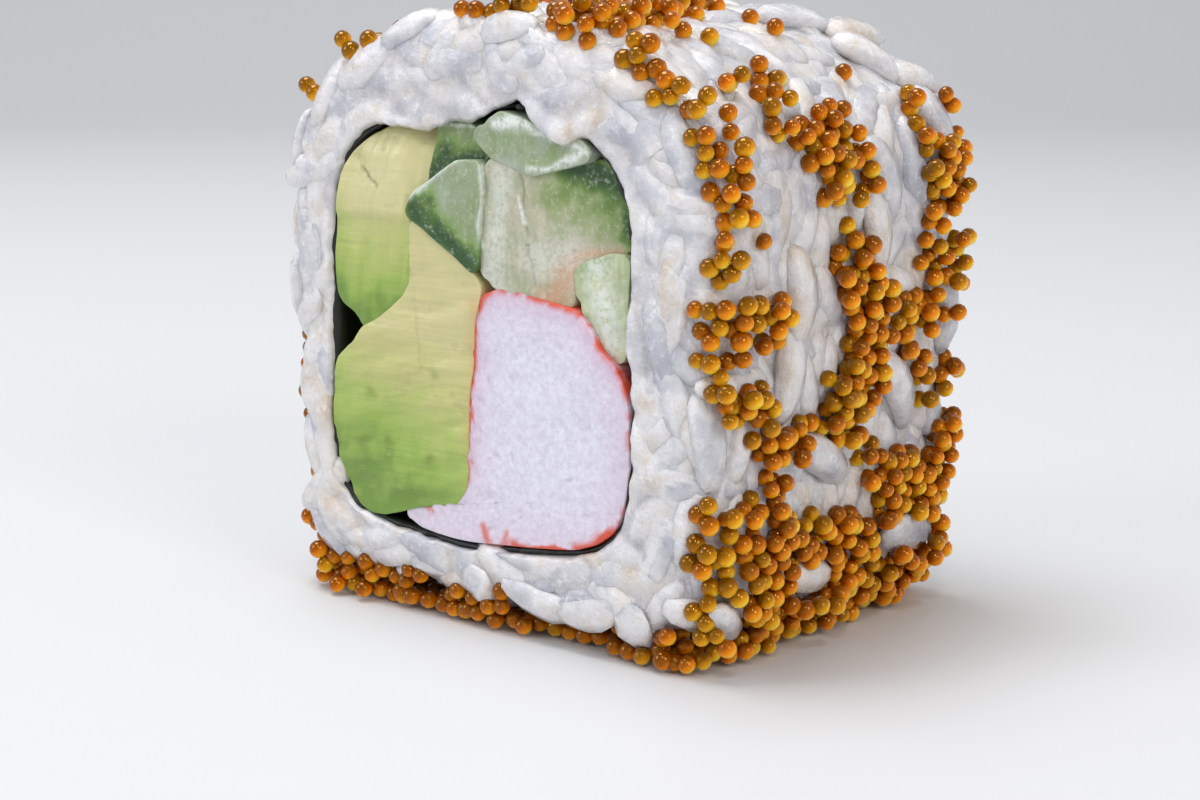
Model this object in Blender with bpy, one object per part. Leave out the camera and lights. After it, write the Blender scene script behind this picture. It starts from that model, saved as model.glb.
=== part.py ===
"""Uramaki roll: one cut piece, rice outside, with roe on the rice.

The roll lies on its side with its axis along Y, so the front cut face looks along -Y.
Lengths are in metres, +Z is up, and the origin is under the middle of the roll on the surface it
rests on. Sections are drawn in the X-Z plane in millimetres, anticlockwise from the nori's seam
at the top, and each strip of filling runs through the roll from one cut face to the other.
"""

import math

import bmesh
import bpy
import numpy as np
from mathutils import Vector

MM = 0.001
LENGTH = 32.0  # between the cut faces
GAP = 0.3  # clearance between neighbouring pieces
NORI_THICKNESS = 0.4
NORI_OVERLAP = 5.5  # how far the nori's outer end runs past its inner end
SEED = 7

# Rice: the section's outer envelope, and the cavity that the nori lines.
RICE_OUTSIDE = [
    (1.5, 46.2), (-5.0, 46.3), (-11.0, 45.2), (-16.6, 42.6), (-20.6, 38.4), (-22.2, 32.5),
    (-22.4, 25.0), (-22.2, 17.0), (-22.1, 9.5), (-21.3, 4.6), (-18.4, 2.0), (-13.5, 1.0),
    (-6.0, 0.7), (2.0, 0.7), (10.0, 0.7), (16.6, 1.2), (19.8, 3.6), (20.6, 8.5),
    (20.8, 14.0), (20.8, 20.0), (21.5, 28.0), (21.0, 34.4), (18.6, 40.0), (13.6, 43.8),
    (8.0, 45.6),
]
CAVITY = [
    (-3.2, 38.2), (-8.0, 38.1), (-12.5, 36.9), (-15.6, 34.3), (-16.9, 30.0), (-17.3, 23.0),
    (-17.5, 15.5), (-17.2, 10.0), (-15.6, 7.2), (-12.5, 6.2), (-8.0, 5.7), (-3.0, 5.4),
    (3.0, 6.0), (8.5, 6.9), (11.6, 8.8), (12.8, 12.5), (13.1, 17.5), (12.7, 23.0),
    (12.9, 28.5), (12.4, 32.5), (10.2, 35.8), (6.5, 37.9), (1.5, 38.9),
]

# Strips of filling: section, set-back of each cut face, slope of the front face
# (mm in Y for each mm in X and in Z) and material.
FILLINGS = {
    "avocado_upper": {
        "section": [
            (-6.6, 36.8), (-9.2, 36.6), (-12.4, 35.5), (-14.7, 33.4), (-15.6, 31.2),
            (-16.1, 27.8), (-16.2, 24.8), (-15.5, 22.8), (-13.3, 21.8), (-11.0, 23.1),
            (-9.0, 24.9), (-8.8, 28.0), (-9.0, 30.6), (-7.9, 32.5), (-7.2, 34.6),
        ],
        "set_back": (0.5, 0.7), "slope": (0.0, 0.05), "material": "avocado",
    },
    "avocado_lower": {
        "section": [
            (-1.9, 25.3), (-3.4, 26.8), (-5.9, 28.4), (-8.2, 29.5), (-8.2, 27.4),
            (-8.4, 24.7), (-10.3, 22.8), (-12.9, 21.1), (-14.5, 20.2), (-16.0, 18.8),
            (-16.5, 16.0), (-16.3, 12.0), (-15.2, 9.0), (-13.4, 7.3), (-10.5, 7.6),
            (-7.0, 8.5), (-4.2, 9.0), (-3.2, 10.4), (-3.1, 13.0), (-3.0, 17.0),
            (-2.6, 19.3), (-2.4, 22.0),
        ],
        "set_back": (0.5, 0.4), "slope": (0.0, 0.03), "material": "avocado",
    },
    "cucumber_left": {
        "section": [
            (-1.2, 34.0), (-2.8, 34.4), (-4.5, 33.5), (-6.6, 32.2), (-8.5, 30.7),
            (-6.0, 29.2), (-3.7, 27.7), (-2.1, 26.7), (-1.8, 28.0), (-1.5, 31.0),
        ],
        "set_back": (0.3, 0.8), "slope": (-0.04, 0.06), "material": "cucumber",
    },
    "cucumber_back": {
        "section": [
            (-2.1, 36.1), (-2.8, 36.8), (-4.9, 37.0), (-6.0, 36.4), (-6.6, 34.4),
            (-7.0, 32.8), (-4.8, 34.2), (-2.9, 35.0), (-1.5, 34.8), (-0.6, 34.9),
            (-1.6, 35.5),
        ],
        "set_back": (1.1, 0.4), "slope": (0.0, -0.05), "material": "cucumber",
    },
    "cucumber_top": {
        "section": [
            (2.4, 37.5), (0.3, 37.7), (-1.7, 36.5), (-1.1, 35.8), (0.8, 35.0), (3.7, 34.2),
            (6.0, 34.7), (8.6, 35.6), (7.6, 36.3), (5.2, 37.1),
        ],
        "set_back": (0.4, 1.0), "slope": (0.03, 0.04), "material": "cucumber",
    },
    "cucumber_main": {
        "section": [
            (0.7, 34.5), (-0.7, 34.2), (-0.9, 31.5), (-1.2, 29.0), (-1.3, 27.0),
            (-0.2, 26.0), (2.0, 25.8), (4.8, 25.3), (7.1, 25.0), (6.8, 26.3), (6.8, 27.8),
            (9.3, 28.7), (11.5, 29.3), (11.5, 31.2), (10.7, 33.3), (9.3, 34.8), (6.4, 34.2),
            (3.7, 33.6),
        ],
        "set_back": (0.6, 0.5), "slope": (0.03, -0.02), "material": "cucumber",
    },
    "cucumber_right": {
        "section": [
            (11.5, 28.5), (9.2, 28.1), (7.4, 27.3), (7.9, 25.5), (9.1, 23.7), (10.2, 22.1),
            (11.1, 21.4), (11.5, 22.6), (11.6, 25.5),
        ],
        "set_back": (0.9, 0.3), "slope": (0.04, 0.02), "material": "cucumber",
    },
    "surimi": {
        "section": [
            (2.2, 25.0), (-0.3, 24.8), (-1.8, 23.8), (-1.9, 22.0), (-2.0, 19.5),
            (-2.4, 17.0), (-2.5, 13.0), (-2.7, 9.8), (-4.5, 8.3), (-7.0, 7.9), (-9.2, 7.3),
            (-7.5, 6.9), (-3.5, 6.6), (0.5, 6.9), (4.5, 7.3), (8.2, 7.9), (10.7, 9.3),
            (11.7, 11.8), (12.0, 15.0), (11.9, 18.2), (11.2, 20.4), (9.8, 21.4),
            (8.8, 22.9), (7.3, 24.1), (4.8, 24.6),
        ],
        "set_back": (0.3, 0.3), "slope": (0.0, 0.0), "material": "surimi",
    },
}

# Thick patches of roe, sunk a little into the rice: the shares of the rice's outline and the places
# along Y that they span.
ROE_PATCHES = {
    "roe_bed": {"start": 0.382, "stop": 0.630, "front": -15.6, "back": 15.2, "thickness": 1.0},
    "roe_side": {"start": 0.660, "stop": 0.708, "front": -13.8, "back": 14.2, "thickness": 1.2},
}

# Material: linear base colour and roughness.
FINISHES = {
    "rice": ((0.76, 0.76, 0.78), 0.35),
    "nori": ((0.010, 0.014, 0.010), 0.45),
    "avocado": ((0.50, 0.55, 0.16), 0.45),
    "cucumber": ((0.36, 0.47, 0.25), 0.30),
    "surimi": ((0.80, 0.70, 0.78), 0.45),
    "roe": ((0.80, 0.30, 0.03), 0.15),
}

# Rice surface, in mm: how rounded the edge of a cut face is in the middle, and by how much more on
# the right and less on the left; how deep the creases between grains are on the outside, on the
# rounded edge and on the cut faces; and the height over which they fade out underneath.
EDGE, EDGE_LEAN = 2.1, 1.1
OUTER_RELIEF, EDGE_RELIEF, FACE_RELIEF = 1.1, 0.9, 0.7
PRESSED_FROM, PRESSED_OVER = 0.5, 3.5

# Cavity over the nori's overlap, in mm: how far it steps out and over what length, and the depth and
# half width of the cleft at the nori's end.
OVERLAP_STEP, OVERLAP_RISE = 0.9, 2.5
CLEFT_DEPTH, CLEFT_WIDTH = 1.3, 1.6
NORI_TIP_LIFT = 0.5  # how far the nori's outer end stands off

WRAP_AROUND = 84  # points round the nori's turn, and round the rice
RICE_ALONG = 15
STRIP_AROUND = 40
STRIP_RIM = 0.4  # rounding where a strip's side meets its cut face
ROE_AROUND, ROE_ALONG = 30, 13


# ---------------------------------------------------------------- sections


def closed_curve(points, count):
    """A Catmull-Rom curve through the points, resampled into count even steps from the first."""
    p = np.array(points, float)
    t = np.linspace(0, 1, 24, endpoint=False)[:, None]
    before, after, beyond = np.roll(p, 1, 0), np.roll(p, -1, 0), np.roll(p, -2, 0)
    spans = [
        0.5 * (2 * b + (c - a) * t + (2 * a - 5 * b + 4 * c - d) * t**2 + (3 * b - a - 3 * c + d) * t**3)
        for a, b, c, d in zip(before, p, after, beyond)
    ]
    return even_steps(np.concatenate(spans), count)


def even_steps(fine, count):
    """A closed run of points resampled into count equal steps along it."""
    ring = np.vstack([fine, fine[:1]])
    run = np.concatenate([[0], np.cumsum(np.linalg.norm(np.diff(ring, axis=0), axis=1))])
    at = np.linspace(0, run[-1], count, endpoint=False)
    return np.stack([np.interp(at, run, ring[:, k]) for k in (0, 1)], 1)


def outward(ring):
    """Unit normals of an anticlockwise ring, pointing out of it."""
    along = np.roll(ring, -1, 0) - np.roll(ring, 1, 0)
    along /= np.linalg.norm(along, axis=1)[:, None]
    return np.stack([along[:, 1], -along[:, 0]], 1)


def distance_along(ring):
    """Distance of each point of a closed ring from its first, and the ring's whole length."""
    steps = np.linalg.norm(np.roll(ring, -1, 0) - ring, axis=1)
    return np.concatenate([[0], np.cumsum(steps)[:-1]]), steps.sum()


def smooth_step(x):
    x = np.clip(x, 0, 1)
    return x * x * (3 - 2 * x)


def finer_at_ends(count):
    """Shares from 0 to 1, closer together near 0 and near 1."""
    even = np.linspace(0, 1, count)
    return 0.5 * even + 0.25 - 0.25 * np.cos(math.pi * even)


# ---------------------------------------------------------------- meshes


def material(name):
    colour, roughness = FINISHES[name]
    made = bpy.data.materials.get(name) or bpy.data.materials.new(name)
    made.use_nodes = True
    shader = made.node_tree.nodes["Principled BSDF"]
    shader.inputs["Base Color"].default_value = (*colour, 1)
    shader.inputs["Roughness"].default_value = roughness
    made.diffuse_color = (*colour, 1)
    return made


def lattice(name, rows, finish, around=True, along=False):
    """An object from rows of points in mm, joined row to row into quads.

    around joins each row's last point to its first, and along the last row to the first. Rows that
    close around but not along are capped at both ends.
    """
    mesh = bmesh.new()
    verts = [[mesh.verts.new(Vector(p) * MM) for p in row] for row in rows]
    count = len(verts[0])
    for i in range(len(verts) if along else len(verts) - 1):
        first, second = verts[i], verts[(i + 1) % len(verts)]
        for j in range(count if around else count - 1):
            k = (j + 1) % count
            mesh.faces.new((first[j], first[k], second[k], second[j]))
    if around and not along:
        mesh.faces.new(verts[0][::-1])
        mesh.faces.new(verts[-1])
    bmesh.ops.recalc_face_normals(mesh, faces=mesh.faces)
    data = bpy.data.meshes.new(name)
    mesh.to_mesh(data)
    mesh.free()
    data.materials.append(material(finish))
    data.shade_smooth()
    data.set_sharp_from_angle(angle=math.radians(40))
    thing = bpy.data.objects.new(name, data)
    bpy.context.collection.objects.link(thing)
    return thing


def in_roll(ring, y):
    """Points of a section at a place y along the roll, which may be one value or one for each point."""
    return np.stack([ring[:, 0], np.broadcast_to(y, len(ring)), ring[:, 1]], 1)


# ---------------------------------------------------------------- pieces


def grain_hollows(points, normals, rng, count=420, half_length=3.6, half_width=1.7):
    """How far below the envelope each point lies: 0 on the back of a rice grain, 1 in between grains.

    Each grain is half an ellipsoid that lies on the surface, turned at random in its plane.
    """
    seats = rng.integers(0, len(points), count)
    turn = rng.uniform(0, math.pi, count)
    up = normals[seats]
    side = np.cross(up, (0.0, 1.0, 0.3))
    side /= np.linalg.norm(side, axis=1)[:, None]
    other = np.cross(up, side)
    long_axis = side * np.cos(turn)[:, None] + other * np.sin(turn)[:, None]
    cross_axis = np.cross(up, long_axis)
    away = points[:, None] - points[seats][None]
    lengthwise = np.einsum("pgk,gk->pg", away, long_axis) / half_length
    crosswise = np.einsum("pgk,gk->pg", away, cross_axis) / half_width
    through = np.einsum("pgk,gk->pg", away, up) / half_width
    cap = np.sqrt(np.clip(1 - lengthwise**2 - crosswise**2 - through**2, 0, 1))
    return 1 - (cap * rng.uniform(0.6, 1.0, count)).max(1)


def build_rice():
    """The rice wall: from the cavity out over the front face, along the outside and back again."""
    rng = np.random.default_rng(SEED)
    inside = rice_cavity(WRAP_AROUND)
    outside = closed_curve(RICE_OUTSIDE, WRAP_AROUND)
    normal = outward(outside)
    edge = (EDGE + EDGE_LEAN * normal[:, 0])[:, None]
    lip = outside - normal * edge
    shoulder = outside - normal * edge * 0.3
    end = LENGTH / 2
    # Each ring's outline, place along Y and depth of relief.
    half = [(inside, end - 0.1, 0.0)]
    half += [(inside + (lip - inside) * share, end, FACE_RELIEF) for share in (0.35, 0.7, 1.0)]
    on_face = len(half)
    half += [(shoulder, end - 0.9, EDGE_RELIEF)]
    along = np.linspace(end - 2.8, 0, RICE_ALONG // 2, endpoint=False)
    half += [(outside, y, OUTER_RELIEF) for y in along]
    rows = [in_roll(ring, -y) for ring, y, _ in half]
    rows += [in_roll(outside, 0.0)]
    rows += [in_roll(ring, y) for ring, y, _ in reversed(half)]

    points = np.concatenate(rows)
    forward = [np.tile((0.0, -1.0, 0.0), (WRAP_AROUND, 1))] * on_face
    facing = forward + [in_roll(normal, 0.0)] * (len(rows) - 2 * on_face)
    facing = np.concatenate(facing + [-side for side in forward])
    relief = [depth for _, _, depth in half]
    depth = np.repeat(relief + [OUTER_RELIEF] + relief[::-1], WRAP_AROUND)
    depth *= smooth_step((points[:, 2] - PRESSED_FROM) / PRESSED_OVER)
    hollow = grain_hollows(points, facing, rng) * depth
    points = points - facing * hollow[:, None]
    return lattice("rice", points.reshape(-1, WRAP_AROUND, 3), "rice", along=True)


def past_seam(ring):
    """How far each point of the cavity lies clockwise past the nori's inner end, either way in mm."""
    run, whole = distance_along(ring)
    clockwise = whole - run
    return np.where(clockwise > whole / 2, clockwise - whole, clockwise)


def rice_cavity(count):
    """The rice's inner wall: CAVITY, stepped out over the nori's overlap, with a cleft at its end."""
    ring = closed_curve(CAVITY, count)
    past = past_seam(ring)
    rise = smooth_step((past + 4.0) / OVERLAP_RISE)
    fall = smooth_step((NORI_OVERLAP + 3.5 - past) / OVERLAP_RISE)
    cleft = np.exp(-(((past - NORI_OVERLAP) / CLEFT_WIDTH) ** 2))
    depth = OVERLAP_STEP * rise * fall + CLEFT_DEPTH * cleft
    return ring + outward(ring) * depth[:, None]


def build_nori():
    """The nori: one turn clockwise round the filling, then on over its own inner end."""
    ring = closed_curve(CAVITY, WRAP_AROUND)
    normal = outward(ring)
    run, whole = distance_along(ring)
    extra = int(NORI_OVERLAP / whole * WRAP_AROUND) + 1
    steps = np.arange(WRAP_AROUND + extra)
    order = -steps % WRAP_AROUND
    travelled = steps * whole / WRAP_AROUND
    lift = smooth_step((travelled - whole + 3.0) / 3.0) * (NORI_THICKNESS + GAP)
    tip = smooth_step((travelled - whole - NORI_OVERLAP + 1.5) / 2.5) * NORI_TIP_LIFT
    middle = (lift + tip - GAP - NORI_THICKNESS / 2)[:, None]
    half = NORI_THICKNESS / 2
    outer = ring[order] + normal[order] * (middle + half)
    inner = ring[order] + normal[order] * (middle - half)
    loop = np.concatenate([outer, inner[::-1]])
    end = LENGTH / 2 - 0.3
    return lattice("nori", [in_roll(loop, y) for y in (-end, 0.0, end)], "nori")


def build_strip(name, spec):
    """A strip of filling: its section carried from cut face to cut face, with rounded rims."""
    ring = closed_curve(spec["section"], STRIP_AROUND)
    rim = ring - outward(ring) * STRIP_RIM
    middle = ring.mean(0)
    front, back = (LENGTH / 2 - s for s in spec["set_back"])
    slant = (ring - middle) @ np.array(spec["slope"])
    rows = [
        in_roll(rim, -front + slant),
        in_roll(ring, -front + STRIP_RIM + slant),
        in_roll(ring, 0.0),
        in_roll(ring, back - STRIP_RIM),
        in_roll(rim, back),
    ]
    return lattice(name, rows, spec["material"])


def build_roe(name, start, stop, front, back, thickness):
    """A thick patch of roe that follows the rice from start to stop, as shares of its outline.

    It is thickest in its middle, with a rounded rim that wanders, and flat where it meets the
    surface that the roll stands on.
    """
    across, along = np.meshgrid(finer_at_ends(ROE_AROUND), finer_at_ends(ROE_ALONG))
    outside = closed_curve(RICE_OUTSIDE, 300)
    normal = outward(outside)
    run, whole = distance_along(outside)

    first = start * whole + 0.7 * np.sin(11 * along)
    last = stop * whole + 0.9 * np.sin(8 * along + 1.0)
    at = first + (last - first) * across
    low_y, high_y = front + 0.5 * np.sin(15 * across), back + 0.5 * np.sin(13 * across + 2.0)
    y = low_y + (high_y - low_y) * along
    seat = np.stack([np.interp(at, run, outside[:, k]) for k in (0, 1)], -1)
    out = np.stack([np.interp(at, run, normal[:, k]) for k in (0, 1)], -1)

    to_rim = np.minimum.reduce([at - first, last - at, y - low_y, high_y - y])
    to_rim = np.clip(to_rim / thickness, 0, 1)
    fullness = 0.35 + 0.65 * np.sqrt(to_rim * (2 - to_rim))
    under = seat + out * GAP
    over = seat + out * (GAP + thickness * fullness)[..., None]
    lowest = outside[:, 1].min()
    resting = lowest - GAP - thickness * fullness
    lifted = smooth_step((seat[..., 1] - lowest - 0.9) / 2.5)
    over[..., 1] = resting + (over[..., 1] - resting) * lifted

    tops = np.stack([over[..., 0], y, over[..., 1]], -1)
    bottoms = np.stack([under[..., 0], y, under[..., 1]], -1)
    rows = [np.concatenate([t, b[::-1]]) for t, b in zip(tops, bottoms)]
    return lattice(name, rows, "roe")


def main():
    for thing in list(bpy.data.objects):
        bpy.data.objects.remove(thing)
    made = [build_rice(), build_nori()]
    made += [build_roe(name, **patch) for name, patch in ROE_PATCHES.items()]
    made += [build_strip(name, spec) for name, spec in FILLINGS.items()]

    # One empty carries the pieces, and stands the middle of their box on the origin.
    corners = np.array([v.co for thing in made for v in thing.data.vertices])
    low, high = corners.min(0), corners.max(0)
    roll = bpy.data.objects.new("roll", None)
    bpy.context.collection.objects.link(roll)
    roll.location = (-(low[0] + high[0]) / 2, -(low[1] + high[1]) / 2, -low[2])
    for thing in made:
        thing.parent = roll


main()
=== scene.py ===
# Looks of one cut piece of inside-out sushi roll: rice and roe outside, nori and filling inside.
# Lengths are in millimetres and the scales of patterns in cells a millimetre; mm turns both to metres.
# The roll's axis is Y. A "ring" is a closed outline in the X-Z plane, anticlockwise seen from -Y.
import math

import bmesh
import bpy
import numpy as np
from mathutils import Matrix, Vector
from mathutils.bvhtree import BVHTree


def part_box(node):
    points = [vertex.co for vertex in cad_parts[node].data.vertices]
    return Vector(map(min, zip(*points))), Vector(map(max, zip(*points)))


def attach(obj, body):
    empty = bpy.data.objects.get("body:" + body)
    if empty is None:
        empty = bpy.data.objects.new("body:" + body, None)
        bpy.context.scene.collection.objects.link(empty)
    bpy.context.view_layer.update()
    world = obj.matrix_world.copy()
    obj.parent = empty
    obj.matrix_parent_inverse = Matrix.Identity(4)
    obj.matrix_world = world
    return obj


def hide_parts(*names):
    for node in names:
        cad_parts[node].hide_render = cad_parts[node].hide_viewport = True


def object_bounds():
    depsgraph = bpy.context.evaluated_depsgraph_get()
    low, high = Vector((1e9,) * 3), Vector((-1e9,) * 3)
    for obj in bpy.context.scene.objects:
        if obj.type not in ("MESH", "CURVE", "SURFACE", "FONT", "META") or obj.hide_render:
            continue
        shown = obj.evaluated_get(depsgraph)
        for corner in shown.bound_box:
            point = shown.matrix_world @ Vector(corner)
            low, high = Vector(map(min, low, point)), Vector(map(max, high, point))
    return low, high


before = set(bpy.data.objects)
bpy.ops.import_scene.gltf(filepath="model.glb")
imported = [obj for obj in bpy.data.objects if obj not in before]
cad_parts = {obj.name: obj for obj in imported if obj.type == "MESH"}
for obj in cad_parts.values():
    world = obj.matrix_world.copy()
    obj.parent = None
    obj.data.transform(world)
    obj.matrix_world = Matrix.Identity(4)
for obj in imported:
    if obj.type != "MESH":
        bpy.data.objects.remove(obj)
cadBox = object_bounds()
scene = bpy.context.scene
scene.view_settings.view_transform = "Standard"
mm = 0.001

# Camera, light and floor.
cameraLook = {
    "azimuth": 40.0,
    "elevation": 11.0,
    "distance": 170.0,
    "lens": 69.6,
    "target": (6.1, -11.0, 17.9),
}
studio = {
    "floorColour": "#C9CACC",
    "backColour": "#E9EBEE",
    "ambient": 0.70,
    # each light: where it stands and what it faces, in mm, its width, its power in watts, its colour
    "lights": {
        "topLight": ((-150, -40, 620), (0, 60, 25), 320, 3.0, "#FFFFFF"),
        "frontLight": ((-420, -520, 330), (0, 0, 22), 300, 1.4, "#F2F5FF"),
        "sideLight": ((560, -160, 300), (10, 0, 20), 240, 1.1, "#FFF8F0"),
        "sparkLight": ((250, -300, 430), (0, 0, 20), 50, 0.4, "#FFFFFF"),
    },
}


def linearColour(code, alpha=1.0):
    # sRGB hex to linear: the usual curve, straight near black and a power of 2.4 above it
    parts = [int(code[k : k + 2], 16) / 255 for k in (1, 3, 5)]
    linear = [c / 12.92 if c <= 0.04045 else ((c + 0.055) / 1.055) ** 2.4 for c in parts]
    return (*linear, alpha)


def addNode(tree, kind, links=None, stops=None, **settings):
    # one shader node: its own settings, its ramp's stops, and its inputs, each of them a value, a
    # colour's hex code, another node's output or the name of one of the mesh's attributes
    node = tree.nodes.new(kind)
    for name, value in settings.items():
        setattr(node, name, value)
    if stops:
        ramp = node.color_ramp
        while len(ramp.elements) < len(stops):
            ramp.elements.new(0.5)
        for element, (place, colour) in zip(ramp.elements, stops):
            element.position = place
            element.color = linearColour(colour)
    for name, value in (links or {}).items():
        isText = isinstance(value, str)
        if isText and value[0] != "#":
            value = addNode(tree, "ShaderNodeAttribute", attribute_name=value).outputs["Fac"]
        if isinstance(value, bpy.types.NodeSocket):
            tree.links.new(value, node.inputs[name])
        else:
            node.inputs[name].default_value = linearColour(value) if isText else value
    return node


def newMaterial(name):
    made = bpy.data.materials.new(name)
    made.use_nodes = True
    made.node_tree.nodes.clear()
    return made, made.node_tree


def finishMaterial(made, finish):
    surface = addNode(made.node_tree, "ShaderNodeBsdfPrincipled", finish).outputs[0]
    addNode(made.node_tree, "ShaderNodeOutputMaterial", {"Surface": surface})
    return made


def placeCamera(look):
    turn, rise = math.radians(look["azimuth"]), math.radians(look["elevation"])
    level = math.cos(rise)
    ahead = Vector((-math.sin(turn) * level, math.cos(turn) * level, -math.sin(rise)))
    data = bpy.data.cameras.new("studioCamera")
    data.lens = look["lens"]
    data.sensor_width = 36.0
    data.clip_start = 0.01
    camera = bpy.data.objects.new("studioCamera", data)
    camera.location = (Vector(look["target"]) - ahead * look["distance"]) * mm
    camera.rotation_euler = ahead.to_track_quat("-Z", "Y").to_euler()
    scene.collection.objects.link(camera)
    scene.camera = camera


def placeLights(plan):
    for name, (spot, facing, width, power, colour) in plan["lights"].items():
        data = bpy.data.lights.new(name, "AREA")
        data.size = width * mm
        data.energy = power
        data.color = linearColour(colour)[:3]
        light = bpy.data.objects.new(name, data)
        light.location = Vector(spot) * mm
        light.rotation_euler = (Vector(facing) - Vector(spot)).to_track_quat("-Z", "Y").to_euler()
        scene.collection.objects.link(light)
    world = bpy.data.worlds.new("studioWorld")
    world.use_nodes = True
    background = world.node_tree.nodes["Background"]
    background.inputs["Color"].default_value = linearColour(plan["backColour"])
    background.inputs["Strength"].default_value = plan["ambient"]
    scene.world = world


def placeFloor(plan):
    # a wide sheet that runs flat under the roll and curves up far behind it, in a broad quarter turn
    across = np.linspace(-900, 900, 3)
    run = np.concatenate([[-900, 500], 500 + 400 * np.sin(np.linspace(0.1, math.pi / 2, 14))])
    rise = np.concatenate([[0, 0], 400 - 400 * np.cos(np.linspace(0.1, math.pi / 2, 14))])
    turn = math.radians(cameraLook["azimuth"])
    ahead = np.array([-math.sin(turn), math.cos(turn)])
    side = np.array([math.cos(turn), math.sin(turn)])
    flat = across[None, :, None] * side + run[:, None, None] * ahead
    points = np.concatenate([flat, np.broadcast_to(rise[:, None, None], (len(run), 3, 1))], 2)
    floor = meshPiece("floor", points.reshape(-1, 3), gridFaces(len(run), 3))
    made, _ = newMaterial("paintedPaperSweep")
    paint = {"Base Color": plan["floorColour"], "Roughness": 0.6}
    floor.data.materials.append(finishMaterial(made, paint))


def gridFaces(rows, columns, wrapRows=False, wrapColumns=False):
    # quads between neighbouring rows and columns of a grid, numbered row by row
    down = np.arange(rows if wrapRows else rows - 1)[:, None]
    across = np.arange(columns if wrapColumns else columns - 1)[None, :]
    nextDown, nextAcross = (down + 1) % rows, (across + 1) % columns
    corners = (
        down * columns + across,
        down * columns + nextAcross,
        nextDown * columns + nextAcross,
        nextDown * columns + across,
    )
    return np.stack([np.broadcast_to(c, (down.size, across.size)).ravel() for c in corners], 1)


def volumeWithin(points, corners):
    # six times the signed volume between the origin and each face, summed over fans of triangles
    total = 0.0
    for k in range(1, corners.shape[1] - 1):
        a, b, c = (points[corners[:, j]] for j in (0, k, k + 1))
        total += (a * np.cross(b, c)).sum()
    return total


def meshPiece(name, points, quads, tris=None, attributes=None):
    # an object from arrays: points in mm, faces as rows of point numbers, one value a point to each
    # attribute; faces whose volume comes out negative are turned to face outward
    points, quads = np.asarray(points), np.asarray(quads)
    tris = np.zeros((0, 3), int) if tris is None else np.asarray(tris)
    if volumeWithin(points, quads) + volumeWithin(points, tris) < 0:
        quads, tris = quads[:, ::-1], tris[:, ::-1]
    data = bpy.data.meshes.new(name)
    data.vertices.add(len(points))
    data.vertices.foreach_set("co", (points * mm).astype(np.float32).ravel())
    corners = np.concatenate([quads.ravel(), tris.ravel()])
    starts = np.concatenate([np.arange(len(quads)) * 4, len(quads) * 4 + np.arange(len(tris)) * 3])
    data.loops.add(len(corners))
    data.loops.foreach_set("vertex_index", corners.astype(np.int32))
    data.polygons.add(len(starts))
    data.polygons.foreach_set("loop_start", starts.astype(np.int32))
    data.update(calc_edges=True)
    data.shade_smooth()
    for key, values in (attributes or {}).items():
        layer = data.attributes.new(key, "FLOAT", "POINT")
        layer.data.foreach_set("value", np.asarray(values, np.float32).ravel())
    piece = bpy.data.objects.new(name, data)
    scene.collection.objects.link(piece)
    return piece


def smoothStep(x):
    x = np.clip(x, 0, 1)
    return x * x * (3 - 2 * x)


def softNoise(points, size, seed):
    # smooth heights from -1 to 1: random values on a lattice of that size, blended between corners
    at = np.asarray(points, float) / size + 512.0
    cell = np.floor(at).astype(np.int64)
    part = at - cell
    part = part * part * (3 - 2 * part)
    total = np.zeros(at.shape[:-1])
    for corner in range(8):
        step = np.array([(corner >> k) & 1 for k in range(3)])
        c = cell + step
        mix = c[..., 0] * 73856093 ^ c[..., 1] * 19349663 ^ c[..., 2] * 83492791 ^ seed * 2654435761
        mix = (mix ^ (mix >> 15)) * 2246822519 & 0xFFFFFFFF
        mix = (mix ^ (mix >> 13)) * 3266489917 & 0xFFFFFFFF
        value = (mix & 0xFFFFFF) / 0x7FFFFF - 1
        total += np.prod(np.where(step, part, 1 - part), -1) * value
    return total


def layeredNoise(points, size, seed, layers=3):
    # several soft noises, each of half the size and half the height of the last
    return sum(softNoise(points, size / 2**k, seed + k) / 2**k for k in range(layers)) / 1.75


def alongLine(line):
    return np.concatenate([[0], np.cumsum(np.linalg.norm(np.diff(line, axis=0), axis=1))])


def evenLine(line, count, endpoint=True):
    # a line at count equal steps along it
    run = alongLine(line)
    at = np.linspace(0, run[-1], count, endpoint=endpoint)
    return np.stack([np.interp(at, run, line[:, k]) for k in (0, 1)], 1)


def evenRing(ring, count):
    return evenLine(np.vstack([ring, ring[:1]]), count, endpoint=False)


def softened(ring, times):
    for _ in range(times):
        ring = ring * 0.5 + (np.roll(ring, 1, 0) + np.roll(ring, -1, 0)) * 0.25
    return ring


def faceted(ring, slack):
    # flat sides, as a knife leaves them: a side is split at the ring's farthest point from it for as
    # long as that point is more than the slack away
    closed = np.vstack([ring, ring[:1]])
    opposite = int(np.linalg.norm(ring - ring[0], axis=1).argmax())
    corners, sides = {0, opposite}, [(0, opposite), (opposite, len(ring))]
    while sides:
        first, last = sides.pop()
        along = closed[last] - closed[first]
        offset = closed[first : last + 1] - closed[first]
        off = np.abs(offset[:, 0] * along[1] - offset[:, 1] * along[0]) / max(np.hypot(*along), 1e-9)
        if last - first > 1 and off.max() > slack:
            middle = first + int(off.argmax())
            corners.add(middle)
            sides += [(first, middle), (middle, last)]
    return ring[sorted(corners)]


def outward(ring):
    along = np.roll(ring, -1, 0) - np.roll(ring, 1, 0)
    along /= np.maximum(np.linalg.norm(along, axis=1), 1e-9)[:, None]
    return np.stack([along[:, 1], -along[:, 0]], 1)


def unit(rows):
    return rows / np.linalg.norm(rows, axis=1)[:, None]


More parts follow.
